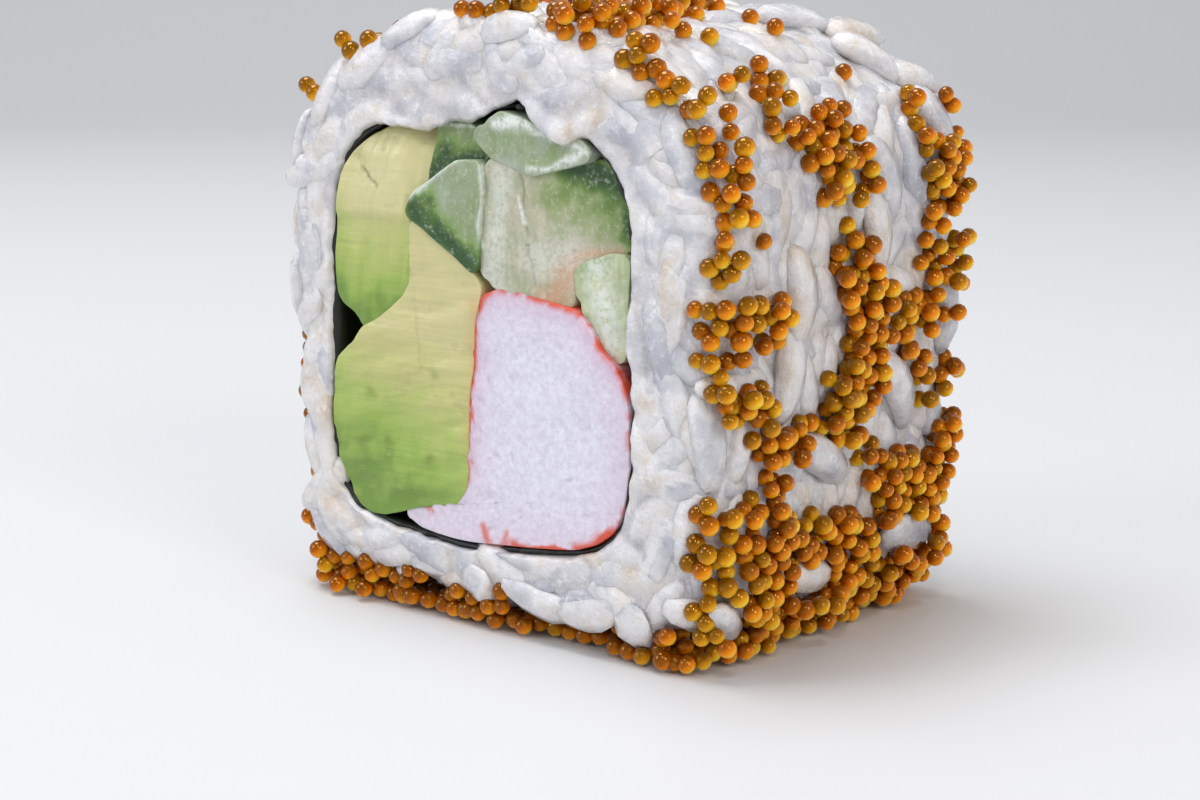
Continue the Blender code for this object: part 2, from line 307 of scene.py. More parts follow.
def cutRings(node, y):
    # the CAD node's outlines at a place y: its mesh is cut by that plane and the cut's edges followed
    cut = bmesh.new()
    cut.from_mesh(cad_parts[node].data)
    bmesh.ops.remove_doubles(cut, verts=cut.verts, dist=1e-6)
    bmesh.ops.bisect_plane(
        cut,
        geom=cut.verts[:] + cut.edges[:] + cut.faces[:],
        plane_co=(0, y * mm, 0),
        plane_no=(0, 1, 0),
        clear_inner=True,
        clear_outer=True,
    )
    rings, seen = [], set()
    for start in cut.verts:
        if start in seen or len(start.link_edges) != 2:
            continue
        chain, here, edge = [], start, start.link_edges[0]
        while here not in seen:
            seen.add(here)
            chain.append((here.co.x / mm, here.co.z / mm))
            here = edge.other_vert(here)
            edge = here.link_edges[0] if here.link_edges[1] == edge else here.link_edges[1]
        ring = np.array(chain)
        following = np.roll(ring, -1, 0)
        area = (ring[:, 0] * following[:, 1] - following[:, 0] * ring[:, 1]).sum()
        rings.append(ring if area > 0 else ring[::-1])
    cut.free()
    return sorted(rings, key=lambda r: -np.ptp(r[:, 0]))


def nearest(points, line):
    # from each point to a closed line: the distance to the closest spot on it, and that spot
    start, end = line, np.roll(line, -1, 0)
    along = end - start
    share = ((points[:, None] - start) * along).sum(-1) / np.maximum((along**2).sum(-1), 1e-12)
    spots = start + np.clip(share, 0, 1)[..., None] * along
    far = np.linalg.norm(points[:, None] - spots, axis=-1)
    best = far.argmin(1)
    pick = np.arange(len(points))
    return far[pick, best], spots[pick, best]


def inRoll(ring, y):
    return np.stack([ring[:, 0], np.broadcast_to(y, len(ring)), ring[:, 1]], 1)


placeCamera(cameraLook)
placeLights(studio)
placeFloor(studio)
print("camera, lights and floor are in place")

# The sections that the looks are built on, all read from the CAD nodes.
ends = {name: [c[1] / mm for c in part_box(name)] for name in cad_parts}
riceFront, riceBack = ends["rice"]
fillingNames = [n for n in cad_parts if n.split("_")[0] in ("avocado", "cucumber", "surimi")]
fillingRings = {n: evenRing(cutRings(n, 0.5)[0], 200) for n in fillingNames}
for name in fillingNames:
    if name.startswith("cucumber"):
        fillingRings[name] = softened(evenRing(faceted(fillingRings[name], 0.32), 200), 2)


def noriLine(count):
    # the nori's outer skin from its inner end to its outer one: its section is one long thin ring that
    # turns back on itself at its two ends, and of the two sides between them the outer one is longer
    steps = 1200
    ring = evenRing(cutRings("nori", 0.5)[0], steps)
    along = np.roll(ring, -1, 0) - ring
    turning = (np.roll(along, -2, 0) * np.roll(along, 3, 0)).sum(1)
    first = int(turning.argmin())
    apart = np.abs((np.arange(steps) - first + steps // 2) % steps - steps // 2)
    second = int(np.where(apart > steps // 20, turning, 1).argmin())
    first, second = sorted((first, second))
    sides = (ring[first : second + 1], np.vstack([ring[second:], ring[: first + 1]])[::-1])
    return evenLine(max(sides, key=lambda side: alongLine(side)[-1]), count)


def sectionBox(name):
    # the lowest and the highest X and Z of a CAD node
    return (np.array(c)[[0, 2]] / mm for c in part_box(name))


def sectionShares(name, points):
    # where points lie across a CAD node's box, from 0 to 1 in X and in Z
    low, high = sectionBox(name)
    return (points[..., [0, 2]] - low) / (high - low)


def stroke(name, points, start, end, width):
    # how near points come to a line drawn across a node's section: 1 on it, fading over width in mm;
    # start and end are shares of the node's box
    low, high = sectionBox(name)
    first, last = low + (high - low) * start, low + (high - low) * end
    flat = points[..., [0, 2]]
    share = ((flat - first) @ (last - first)) / max(((last - first) ** 2).sum(), 1e-9)
    spot = first + np.clip(share, 0, 1)[..., None] * (last - first)
    return np.exp(-(((flat - spot) ** 2).sum(-1)) / width**2)


def underLap(x, z):
    # where the nori lies double under the top of the roll and the rice laps over it
    return smoothStep((x + 15) / 8) * smoothStep((9 - x) / 2) * smoothStep((z - 34) / 2)


# Nori: one damp sheet round the filling.
noriLook = {
    "steps": 420,
    "along": 22,
    "thickness": 0.34,
    "crinkle": 0.09,
    "crinkleSize": 2.6,
    "inset": 0.25,
    "raggedEdge": 0.3,
    "flip": 0.2,
    "lapped": 1.2,
    "notch": (2.2, 0.8),  # where along X the rice's lap leaves the sheet's edge bare, and how wide
}
noriOuter = noriLine(noriLook["steps"])
gapToRice = 0.3


def toNori(flat):
    # from points in the X-Z plane to the nori's outer skin
    return np.linalg.norm(flat[:, None] - noriOuter[None], axis=-1).min(1)


def noriPiece(look):
    # the sheet fills the gap up to the rice: its middle line is crinkled and carried from face to face,
    # with its two skins half a thickness to each side, its cut edges a little ragged and its outer end
    # lifted
    along = unit(np.gradient(noriOuter, axis=0))
    away = np.stack([-along[:, 1], along[:, 0]], 1)
    run = alongLine(noriOuter)
    share = np.linspace(0, 1, look["along"])[:, None]
    grid = np.stack(np.broadcast_arrays(run[None, :], share * 30, 0 * share + 3), -1)
    wave = look["crinkle"] * layeredNoise(grid, look["crinkleSize"], 11)
    wave = wave + look["flip"] * smoothStep((run - run[-1] + 2.2) / 2.2)
    front, back = ends["nori"]
    edge = np.stack([run, 0 * run, 0 * run], -1)
    middle, wide = look["notch"]
    notch = np.exp(-(((noriOuter[:, 0] - middle) / wide) ** 2))
    lapped = look["lapped"] * underLap(*noriOuter.T) * (1 - notch)
    starts = front + look["inset"] + lapped + look["raggedEdge"] * layeredNoise(edge, 1.4, 12)
    stops = back - look["inset"] - lapped - look["raggedEdge"] * layeredNoise(edge, 1.4, 13)
    place = starts + (stops - starts) * share
    skins = []
    for half in (-0.5, 0.5):
        depth = gapToRice + wave + (half - 0.5) * look["thickness"]
        flat = noriOuter + away * depth[..., None]
        skins.append(np.stack([flat[..., 0], place, flat[..., 1]], -1))
    points = np.concatenate([skins[0], skins[1][::-1]], 0).transpose(1, 0, 2)
    steps, count = points.shape[:2]
    quads = gridFaces(steps, count, wrapColumns=True)
    pairs = np.arange(count // 2 - 1)
    cap = np.stack([pairs + 1, count - 2 - pairs, count - 1 - pairs, pairs], 1)
    quads = np.concatenate([quads, cap[:, ::-1], (steps - 1) * count + cap])
    return meshPiece("noriSheet", points.reshape(-1, 3), quads)


def noriMaterial():
    # toasted laver, damp: nearly black with a green cast, and the sheet's fine matted fibres
    made, tree = newMaterial("toastedNori")
    place = addNode(tree, "ShaderNodeTexCoord").outputs["Object"]
    matted = {"Vector": place, "Scale": 0.9 / mm, "Detail": 6.0, "Roughness": 0.7}
    fibre = addNode(tree, "ShaderNodeTexNoise", matted).outputs["Fac"]
    tones = [(0.35, "#07090A"), (0.62, "#10160F"), (0.8, "#27301C")]
    colour = addNode(tree, "ShaderNodeValToRGB", {"Fac": fibre}, tones)
    bump = addNode(tree, "ShaderNodeBump", {"Height": fibre, "Strength": 0.5, "Distance": 0.2 * mm})
    finish = {"Base Color": colour.outputs[0], "Roughness": 0.42, "Normal": bump.outputs[0]}
    return finishMaterial(made, finish)


# Filling: strips of avocado, cucumber and surimi, cut flush with the rice.
fillingLook = {
    "inward": 28,
    "along": 8,
    "around": 190,
    "rim": 0.09,
    "widestGap": 1.7,
    "mostGrowth": 0.62,
    "middle": {
        "avocado_lower": (0.62, 0.44),
        "avocado_upper": (0.42, 0.48),
        "surimi": (0.56, 0.18),
        "cucumber_back": (0.30, 0.58),
        "cucumber_main": (0.46, 0.50),
    },
}


def grownRings(look):
    # each strip's section moved out until it presses on its neighbours and on the nori: just over half
    # of each gap between strips, and all of the gap up to the sheet
    sheetDepth = gapToRice - noriLook["thickness"]
    grown = {}
    for name, ring in fillingRings.items():
        others = np.min([nearest(ring, r)[0] for n, r in fillingRings.items() if n != name], 0)
        toSheet = toNori(ring) + sheetDepth
        step = np.where(toSheet < others, toSheet + 0.03, others / 2 + 0.1)
        wide = np.minimum(others, toSheet)
        step = np.clip(step, 0, look["mostGrowth"]) * smoothStep((look["widestGap"] - wide) / 0.6)
        for _ in range(5):
            step = step * 0.5 + (np.roll(step, 1) + np.roll(step, -1)) * 0.25
        grown[name] = ring + outward(softened(ring, 3)) * step[:, None]
    return grown


ringsNow = grownRings(fillingLook)


def fillingPoints(name, ring, look, relief):
    # rings from the middle of the front face out to its rim, round the rim, along the strip and in
    # again at the back; the relief moves each face in or out along Y
    low, high = sectionBox(name)
    middle = low + (high - low) * look["middle"].get(name, (0.5, 0.5))
    ring = evenRing(ring, look["around"])
    normal, rim = outward(ring), look["rim"]
    inner = ring - normal * rim
    shares = np.linspace(0, 1, look["inward"] + 1) ** 0.85
    turns = np.linspace(0, math.pi / 2, 4)[1:]
    outlines = [(middle + (inner - middle) * s, 0.0) for s in shares]
    outlines += [(inner + normal * rim * math.sin(t), rim * (1 - math.cos(t))) for t in turns]
    caps = []
    for side, face in zip((1, -1), ends[name]):
        cap = []
        for outline, depth in outlines:
            points = inRoll(outline, face + side * depth)
            points[:, 1] += side * relief(name, points, side)
            cap.append(points)
        caps.append(cap)
    first, last = caps[0], caps[1][::-1]
    between = np.linspace(0, 1, look["along"] + 2)[1:-1]
    sides = [first[-1] * (1 - b) + last[0] * b for b in between]
    return np.array(first + sides + last)


def tubeFaces(rings, count):
    # quads round a tube of rings of points, and triangles that close it on the point before the first
    # ring and on the point after the last
    here = np.arange(count)
    beside = (here + 1) % count
    foot = 1 + (rings - 1) * count
    top = np.stack([0 * here, 1 + beside, 1 + here], 1)
    bottom = np.stack([0 * here + foot + count, foot + here, foot + beside], 1)
    return 1 + gridFaces(rings, count, wrapColumns=True), np.concatenate([top, bottom])


def closedTube(name, rows, attributes):
    # rows of points closed around, whose first and last rows have shrunk to one point each
    points = np.concatenate([rows[0, :1], rows[1:-1].reshape(-1, 3), rows[-1, :1]])
    keep = {k: np.r_[v[0, 0], v[1:-1].ravel(), v[-1, 0]] for k, v in attributes.items()}
    return meshPiece(name, points, *tubeFaces(len(rows) - 2, rows.shape[1]), keep)


# What is drawn on each strip's section: attribute, start and end of a line in shares of the strip's
# box, how far it fades in mm and how strong it is.
drawnLines = {
    "avocado_upper": [
        ("crack", (0.28, 0.79), (0.46, 0.69), 0.1, 0.6),
        ("pale", (0.25, 0.72), (0.80, 0.80), 3.0, 0.7),
    ],
    "avocado_lower": [
        # on the avocado: painted light reflected from the surimi along the right edge
        ("blush", (1.0, 0.05), (1.0, 0.75), 0.9, 0.75),
        ("dot", (0.16, 0.22), (0.17, 0.22), 0.45, 1.0),
        ("dot", (0.35, 0.24), (0.36, 0.24), 0.45, 1.0),
        ("dot", (0.66, 0.19), (0.67, 0.20), 0.45, 0.9),
        ("dot", (0.24, 0.40), (0.25, 0.40), 0.42, 0.7),
        ("dot", (0.70, 0.50), (0.71, 0.50), 0.40, 0.5),
    ],
    # on the cucumbers the pale lines mark whitish torn ridges along the cut edges, partly painted highlight
    "cucumber_left": [
        ("skin", (0.05, 0.50), (0.95, 0.0), 1.5, 1.0),
        ("skin", (0.0, 0.55), (0.30, 0.60), 1.0, 0.7),
        ("pale", (0.0, 0.62), (0.75, 1.05), 0.25, 0.8),
        ("pale", (1.0, 0.1), (1.0, 1.0), 0.2, 0.6),
    ],
    "cucumber_back": [
        ("skin", (0.0, 0.0), (0.25, 0.5), 1.4, 1.0),
        ("skin", (0.35, 0.35), (1.0, 0.55), 1.0, 1.0),
        ("pale", (0.1, 1.0), (0.8, 1.0), 0.2, 0.6),
    ],
    "cucumber_top": [
        ("skin", (0.3, 0.75), (0.7, 0.45), 1.6, 0.22),
        ("pale", (0.20, 0.90), (0.42, 1.0), 0.4, 1.1),
        ("pale", (0.42, 1.0), (1.0, 0.45), 0.28, 0.9),
        ("pale", (0.5, 0.0), (0.75, 0.12), 0.22, 0.8),
        ("pale", (0.75, 0.12), (1.0, 0.45), 0.3, 1.0),
    ],
    "cucumber_main": [
        ("skin", (0.62, 0.98), (1.0, 0.84), 1.6, 1.0),
        ("skin", (0.58, 0.80), (1.0, 0.70), 2.2, 0.5),
        ("skin", (1.0, 0.9), (1.0, 0.50), 0.8, 0.9),
        ("pale", (0.10, 0.10), (0.14, 0.90), 1.3, 0.55),
        ("pale", (0.28, 0.72), (0.33, 0.54), 0.15, 1.1),
        ("pale", (0.0, 0.35), (0.0, 0.95), 0.22, 0.9),
        ("pale", (0.40, 0.30), (0.62, 0.36), 1.6, 0.5),
        ("crack", (0.28, 0.92), (0.40, 0.10), 0.15, 0.8),
        ("blush", (0.50, 0.0), (0.66, 0.28), 1.2, 1.0),
        ("blush", (0.6, 0.34), (0.95, 0.40), 0.35, 0.9),
    ],
    "cucumber_right": [
        ("pale", (0.75, 0.15), (0.45, 0.85), 1.2, 0.8),
        ("skin", (0.15, 0.85), (0.6, 0.95), 0.7, 0.4),
        ("blush", (0.85, 0.0), (0.6, 0.1), 0.9, 0.5),
    ],
    "surimi": [
        ("red", (0.39, -0.02), (0.365, 0.055), 0.3, 0.9),
        ("red", (0.46, -0.02), (0.475, 0.04), 0.26, 0.8),
        ("red", (0.05, 0.11), (0.10, 0.06), 0.28, 0.8),
        ("red", (0.50, 0.0), (0.72, -0.01), 0.3, 0.9),
        ("red", (0.80, 0.03), (0.91, 0.09), 0.42, 0.95),
    ],
}


def drawn(name, points):
    found = {k: np.zeros(points.shape[:-1]) for k in ("skin", "pale", "blush", "crack", "dot", "red")}
    flat = points * (1, 0, 1)
    waver = np.stack([layeredNoise(flat, 1.7, 46), 0 * points[..., 0], layeredNoise(flat, 1.7, 47)], -1)
    points = points + 0.4 * waver
    for kind, start, end, width, strength in drawnLines[name]:
        line = stroke(name, points, np.array(start), np.array(end), width)
        found[kind] = np.maximum(found[kind], strength * line)
    return found


def knifeGrooves(name, points):
    # noise drawn out along the grooves: upright on the upper avocado, rising to the right on the lower
    lean = math.radians(80 if name == "avocado_upper" else 14)
    along = points[..., 0] * math.cos(lean) + points[..., 2] * math.sin(lean)
    beside = points[..., 2] * math.cos(lean) - points[..., 0] * math.sin(lean)
    return layeredNoise(np.stack([0.16 * along, 0 * along, beside], -1), 1.0, 57)


def avocadoRelief(name, points, side):
    # a knife's face: shallow waves, a crack, and a top edge that falls away on the upper piece
    flat = points * (1, 0, 1)
    depth = 0.16 * layeredNoise(flat, 5.0, 21 + side) + 0.05 * layeredNoise(flat, 1.2, 23 + side)
    depth = depth + 0.3 * drawn(name, flat)["crack"] + 0.22 * knifeGrooves(name, flat)
    across, high = np.moveaxis(sectionShares(name, flat), -1, 0)
    if name == "avocado_upper":
        depth = depth + 1.3 * smoothStep((high - 0.84) / 0.2)
        depth = depth + 0.25 * smoothStep((0.56 - high) / 0.06)
        depth = depth + 1.1 * smoothStep((across - 0.70) / 0.30) * smoothStep((high - 0.5) / 0.2)
    return depth


def cucumberRelief(name, points, side):
    # a torn, wet face: small facets that lean different ways, and raised pale ridges, partly painted
    # highlight; the large strip is folded along its crack and falls away to the right of it
    flat = points * (1, 0, 1)
    depth = 0.18 * layeredNoise(flat, 3.6, 31 + side) + 0.07 * layeredNoise(flat, 0.9, 33 + side)
    marks = drawn(name, flat)
    depth = depth - 0.08 * marks["pale"]
    if name == "cucumber_main":
        across, high = np.moveaxis(sectionShares(name, flat), -1, 0)
        depth = depth + 0.3 * marks["crack"]
        depth = depth + 1.5 * np.clip(across - 0.415 + 0.146 * high, 0, 1)
    return depth


def surimiRelief(name, points, side):
    # bundled fish fibres cut across: a nearly even face with fine pits
    flat = points * (1, 0, 1)
    pits = np.maximum(layeredNoise(flat, 0.8, 43 + side), 0.25) - 0.25
    return 0.14 * layeredNoise(flat, 4.0, 41 + side) + 0.35 * pits


def avocadoPaint(name, rows):
    across, high = np.moveaxis(sectionShares(name, rows), -1, 0)
    waver = 0.05 * layeredNoise(rows * (1, 0.15, 1), 3.0, 51) + 0.07 * knifeGrooves(name, rows)
    if name == "avocado_upper":
        low = smoothStep((0.42 - high + 0.10 * across) / 0.5)
        ripe = 0.14 + 0.30 * smoothStep((0.60 - high) / 0.10) + 0.56 * low
        ripe = ripe + 0.2 * smoothStep((0.2 - across) / 0.2)
    else:
        ripe = 0.05 + 0.95 * smoothStep((0.92 - high - 0.22 * across) / 0.85)
    return {"ripe": np.clip(ripe + waver, 0, 1)}


def surimiPaint(name, rows):
    # the dyed red skin shows as streaks along some stretches of the edge, with a pink blush inside
    ring = evenRing(ringsNow[name], 240)
    far = nearest(rows[..., [0, 2]].reshape(-1, 2), ring)[0].reshape(rows.shape[:2])
    across, high = np.moveaxis(sectionShares(name, rows), -1, 0)
    noise = layeredNoise(rows * (1, 0.12, 1), 0.7, 61)
    streaks = layeredNoise(rows * (1, 0.05, 0.6), 1.1, 63)
    leftEdge = smoothStep((0.42 - across) / 0.06) * smoothStep((high - 0.16) / 0.1)
    topEdge = smoothStep((high - 0.80) / 0.08) * smoothStep((0.80 - across) / 0.1)
    shoulder = smoothStep((across - 0.68) / 0.08) * smoothStep((high - 0.62) / 0.08)
    rightEdge = 0.55 * smoothStep((across - 0.9) / 0.05) * smoothStep((high - 0.05) / 0.1)
    bottomEdge = smoothStep((0.14 - high) / 0.06) * smoothStep((across - 0.36) / 0.06)
    width = 0.02 + 0.62 * noise + 0.10 * topEdge + 0.16 * shoulder + 0.38 * leftEdge
    line = np.maximum.reduce([leftEdge, topEdge, shoulder, rightEdge * (noise > -0.1)])
    red = line * smoothStep((width - far) / 0.35 + 0.4)
    drips = smoothStep((0.16 + 0.75 * streaks + 0.35 * noise - far) / 0.3 + 0.4)
    corner = smoothStep((across - 0.84) / 0.06) * smoothStep((0.18 - high) / 0.06)
    red = np.maximum(red, bottomEdge * drips)
    red = np.maximum(red, corner * smoothStep((0.55 + 0.5 * noise - far) / 0.4))
    blush = np.maximum(line, 0.5 * bottomEdge) * np.exp(-((far / 1.5) ** 2))
    blush = np.maximum(blush, 0.5 * smoothStep((0.45 - across) / 0.4))
    blush = np.maximum(blush, 0.45 * np.exp(-((far / 2.6) ** 2)))
    return {"red": red, "blush": np.clip(blush, 0, 1)}


def cucumberPaint(name, rows):
    return {"tone": 0.5 + 0.5 * layeredNoise(rows * (1, 0.1, 1), 2.0, 71)}


def paintedFilling(name, relief, paint):
    rows = fillingPoints(name, ringsNow[name], fillingLook, relief)
    marks = drawn(name, rows)
    for mark, strength in paint(name, rows).items():
        marks[mark] = np.maximum(marks.get(mark, 0), strength)
    return closedTube(name.replace("_", "") + "Strip", rows, marks)


def sumOf(tree, *terms):
    # a sum of factor times value pairs, kept between 0 and 1
    total = 0.0
    for factor, value in terms:
        links, last = {0: value, 1: factor, 2: total}, (factor, value) == terms[-1]
        node = addNode(tree, "ShaderNodeMath", links, operation="MULTIPLY_ADD", use_clamp=last)
        total = node.outputs[0]
    return total


def coated(tree, base, *coats):
    # colours laid over the base one after another, each by its own sum
    for colour, *terms in coats:
        links = {0: sumOf(tree, *terms), 6: base, 7: colour}
        base = addNode(tree, "ShaderNodeMix", links, data_type="RGBA").outputs[2]
    return base


def avocadoMaterial():
    # ripe avocado, freshly cut: buttery yellow that turns green towards the skin, satin and a little
    # translucent, with faint strings across the cut
    made, tree = newMaterial("cutAvocado")
    place = addNode(tree, "ShaderNodeTexCoord").outputs["Object"]
    cells = (0.11 / mm, 0.04 / mm, 1.5 / mm)
    lean = {"Vector": place, "Rotation": (0, math.radians(-10), 0), "Scale": cells}
    lean = addNode(tree, "ShaderNodeMapping", lean).outputs[0]
    strings = addNode(tree, "ShaderNodeTexNoise", {"Vector": lean, "Scale": 1.0, "Detail": 4.0})
    mottle = addNode(tree, "ShaderNodeTexNoise", {"Vector": place, "Scale": 0.5 / mm, "Detail": 5.0})
    strings, mottle = strings.outputs["Fac"], mottle.outputs["Fac"]
    ripeness = sumOf(tree, (1.0, "ripe"), (0.16, strings), (0.46, mottle), (1.0, -0.31))
    tones = [(0.0, "#CBC391"), (0.3, "#BFBC7C"), (0.55, "#ABB866"), (0.8, "#91AC4D"), (1.0, "#6D8D33")]
    colour = coated(
        tree,
        addNode(tree, "ShaderNodeValToRGB", {"Fac": ripeness}, tones).outputs["Color"],
        ("#D9D3A6", (0.7, "pale")),
        ("#8C9048", (-1.0, strings), (-2.4, mottle), (1.0, 1.5)),
        ("#DCDAA6", (1.0, strings), (2.4, mottle), (1.0, -2.15)),
        ("#71822E", (0.8, "dot")),
        # painted shade in the crack
        ("#6F6A2B", (0.8, "crack")),
        # painted light reflected from the surimi, tinting the right edge of the lower strip
        ("#C98F5A", (0.6, "blush")),
    )
    height = sumOf(tree, (0.6, strings), (0.5, mottle))
    bump = addNode(tree, "ShaderNodeBump", {"Height": height, "Strength": 0.65, "Distance": 0.35 * mm})
    finish = {
        "Base Color": colour,
        "Roughness": 0.34,
        "Subsurface Weight": 0.35,
        "Subsurface Radius": (1.0, 0.9, 0.35),
        "Subsurface Scale": 0.8 * mm,
        "Normal": bump.outputs["Normal"],
    }
    return finishMaterial(made, finish)


cucumberCores = {
    "cucumber_left": "#98A68C",
    "cucumber_back": "#76895B",
    "cucumber_top": "#A2AC9B",
    "cucumber_main": "#B9B49D",
    "cucumber_right": "#BDC69E",
}


def cucumberMaterial(name, core):
    # wet cucumber flesh, pale and glassy, under a dark green skin that grades into it, with the whitish
    # bruised ridges of a torn cut, partly painted highlight along the cut edges
    made, tree = newMaterial("wet" + name.title().replace("_", ""))
    place = addNode(tree, "ShaderNodeTexCoord").outputs["Object"]
    cells = (1.5 / mm, 0.06 / mm, 0.16 / mm)
    lean = {"Vector": place, "Rotation": (0, math.radians(-18), 0), "Scale": cells}
    lean = addNode(tree, "ShaderNodeMapping", lean).outputs[0]
    fibres = addNode(tree, "ShaderNodeTexNoise", {"Vector": lean, "Scale": 1.0, "Detail": 5.0})
    mottle = addNode(tree, "ShaderNodeTexNoise", {"Vector": place, "Scale": 0.6 / mm, "Detail": 6.0})
    fibres, mottle = fibres.outputs["Fac"], mottle.outputs["Fac"]
    bloom = {"Vector": place, "Scale": 2.6 / mm, "Detail": 4.0, "Roughness": 0.7}
    frost = addNode(tree, "ShaderNodeTexNoise", bloom).outputs["Fac"]
    speckle = sumOf(tree, (4.0, frost), (1.5, mottle), (1.0, -1.9))
    colour = coated(
        tree,
        core,
        ("#8A946C", (0.4, "tone"), (1.4, fibres), (1.4, mottle), (1.0, -1.25)),
        ("#74943F", (1.5, "skin"), (1.2, mottle), (1.0, -0.6)),
        ("#234A18", (1.8, "skin"), (1.2, mottle), (1.0, -1.35)),
        ("#C99474", (0.7, "blush")),
        # whitish torn ridges, partly painted highlight on the cut edges
        ("#DDE2DD", (speckle, "pale")),
        ("#D2D6C8", (2.6, frost), (1.0, -1.4)),
        ("#5F6E4C", (-2.6, frost), (1.0, 1.0)),
    )
    height = sumOf(tree, (0.6, fibres), (0.6, mottle))
    bump = addNode(tree, "ShaderNodeBump", {"Height": height, "Strength": 0.5, "Distance": 0.3 * mm})
    finish = {
        "Base Color": colour,
        "Roughness": 0.36,
        "Subsurface Weight": 0.35,
        "Subsurface Radius": (0.9, 1.0, 0.7),
        "Subsurface Scale": 0.8 * mm,
        "Normal": bump.outputs["Normal"],
    }
    return finishMaterial(made, finish)


def surimiMaterial():
    # surimi stick: white, faintly lilac fish paste with fine fibres and pits, dyed red on its skin
    made, tree = newMaterial("dyedSurimi")
    place = addNode(tree, "ShaderNodeTexCoord").outputs["Object"]
    grain = {"Vector": place, "Scale": 2.4 / mm, "Detail": 5.0, "Roughness": 0.65}
    fibres = addNode(tree, "ShaderNodeTexNoise", grain).outputs["Fac"]
    colour = coated(
        tree,
        "#E0E0EA",
        ("#B7ADC4", (1.4, fibres), (1.0, -0.48)),
        ("#CDA2BA", (0.6, "blush")),
        ("#D2533A", (1.1, "red"), (0.35, fibres), (1.0, -0.2)),
    )
    bump = addNode(tree, "ShaderNodeBump", {"Height": fibres, "Strength": 0.4, "Distance": 0.2 * mm})
    finish = {
        "Base Color": colour,
        "Roughness": 0.5,
        "Subsurface Weight": 0.5,
        "Subsurface Radius": (1.0, 0.8, 0.8),
        "Subsurface Scale": mm,
        "Normal": bump.outputs["Normal"],
    }
    return finishMaterial(made, finish)


def dress(piece, made, node):
    piece.data.materials.append(made)
    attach(piece, "root")
    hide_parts(node)


dress(noriPiece(noriLook), noriMaterial(), "nori")
avocado = avocadoMaterial()
for name in fillingNames:
    kind = name.split("_")[0]
    if kind == "avocado":
        strip, made = paintedFilling(name, avocadoRelief, avocadoPaint), avocado
    elif kind == "cucumber":
        strip = paintedFilling(name, cucumberRelief, cucumberPaint)
        made = cucumberMaterial(name, cucumberCores[name])
    else:
        strip, made = paintedFilling(name, surimiRelief, surimiPaint), surimiMaterial()
    dress(strip, made, name)
print("the nori and the filling are made")

# Rice: a relief core, smaller than the CAD's outline, with grains set on it.
riceLook = {
    "around": 520,  # points in a ring of the skin; then how many rings each of its parts has
    "faceRows": 14,
    "edgeRows": 7,
    "sideRows": 78,
    "wallRows": (0.02, 0.25, 0.5, 0.75, 0.98),
    "under": 1.5,  # how far the skin lies under the CAD's outline and under its faces
    "faceUnder": 0.7,
    "edge": 2.2,  # rounding between face and outside
    "middle": (-0.5, 24.0),  # X and Z of the roll's middle line
    "lap": (0.05, 1.7),  # over the nori's edge, and how much more over its double layer
    "blend": 0.3,  # how softly grains join, how high the skin is between them, how it ripples
    "floor": 0.45,
    "ripple": 0.09,
    "mostPast": 1.3,  # how far a grain may stick out past the CAD's outline
    # each kind of grain: half length, half width and half thickness in mm, how much they vary, how far
    # apart the grains lie, how many are tried, how far they turn from lying round the roll in radians,
    # how high or low they sit, how far they stay from the nori and the parts of the skin they lie on
    "grains": {
        "relief": ((3.4, 1.3, 1), (0.85, 1.15), 2.0, 9000, 0.45, (-0.5, 0), 0, ("face", "edge", "side")),
        "loose": ((3.5, 1.32, 1.1), (0.86, 1.14), 2.5, 14000, 0.42, (-0.35, 0.4), 0, ("edge", "side")),
        "onFace": ((2.7, 1.3, 0.7), (0.75, 1.2), 2.4, 4000, 0.5, (-0.1, 0.3), 2, ("face",)),
    },
    "anyWay": (0.24, 1.6),  # the share of grains that lie any way, and how far they may turn
    "meanReach": 24.0,  # from the roll's middle line to its outside
}


def reachAt(ring, angles):
    # how far a ring lies from the middle of the roll in each direction: where the ray in that
    # direction crosses the ring's edges, the farthest crossing
    start = ring - riceLook["middle"]
    edge = np.roll(start, -1, 0) - start
    way = np.stack([np.cos(angles), np.sin(angles)], 1)[:, None]
    turn = way[..., 0] * edge[:, 1] - way[..., 1] * edge[:, 0]
    turn = np.where(np.abs(turn) < 1e-9, 1e-9, turn)
    far = (start[:, 0] * edge[:, 1] - start[:, 1] * edge[:, 0]) / turn
    share = (start[:, 0] * way[..., 1] - start[:, 1] * way[..., 0]) / turn
    return np.where((share >= 0) & (share <= 1) & (far > 0), far, 0).max(1)


def fromMiddle(angles, reach):
    return np.stack([np.cos(angles), np.sin(angles)], 1) * reach[:, None] + riceLook["middle"]


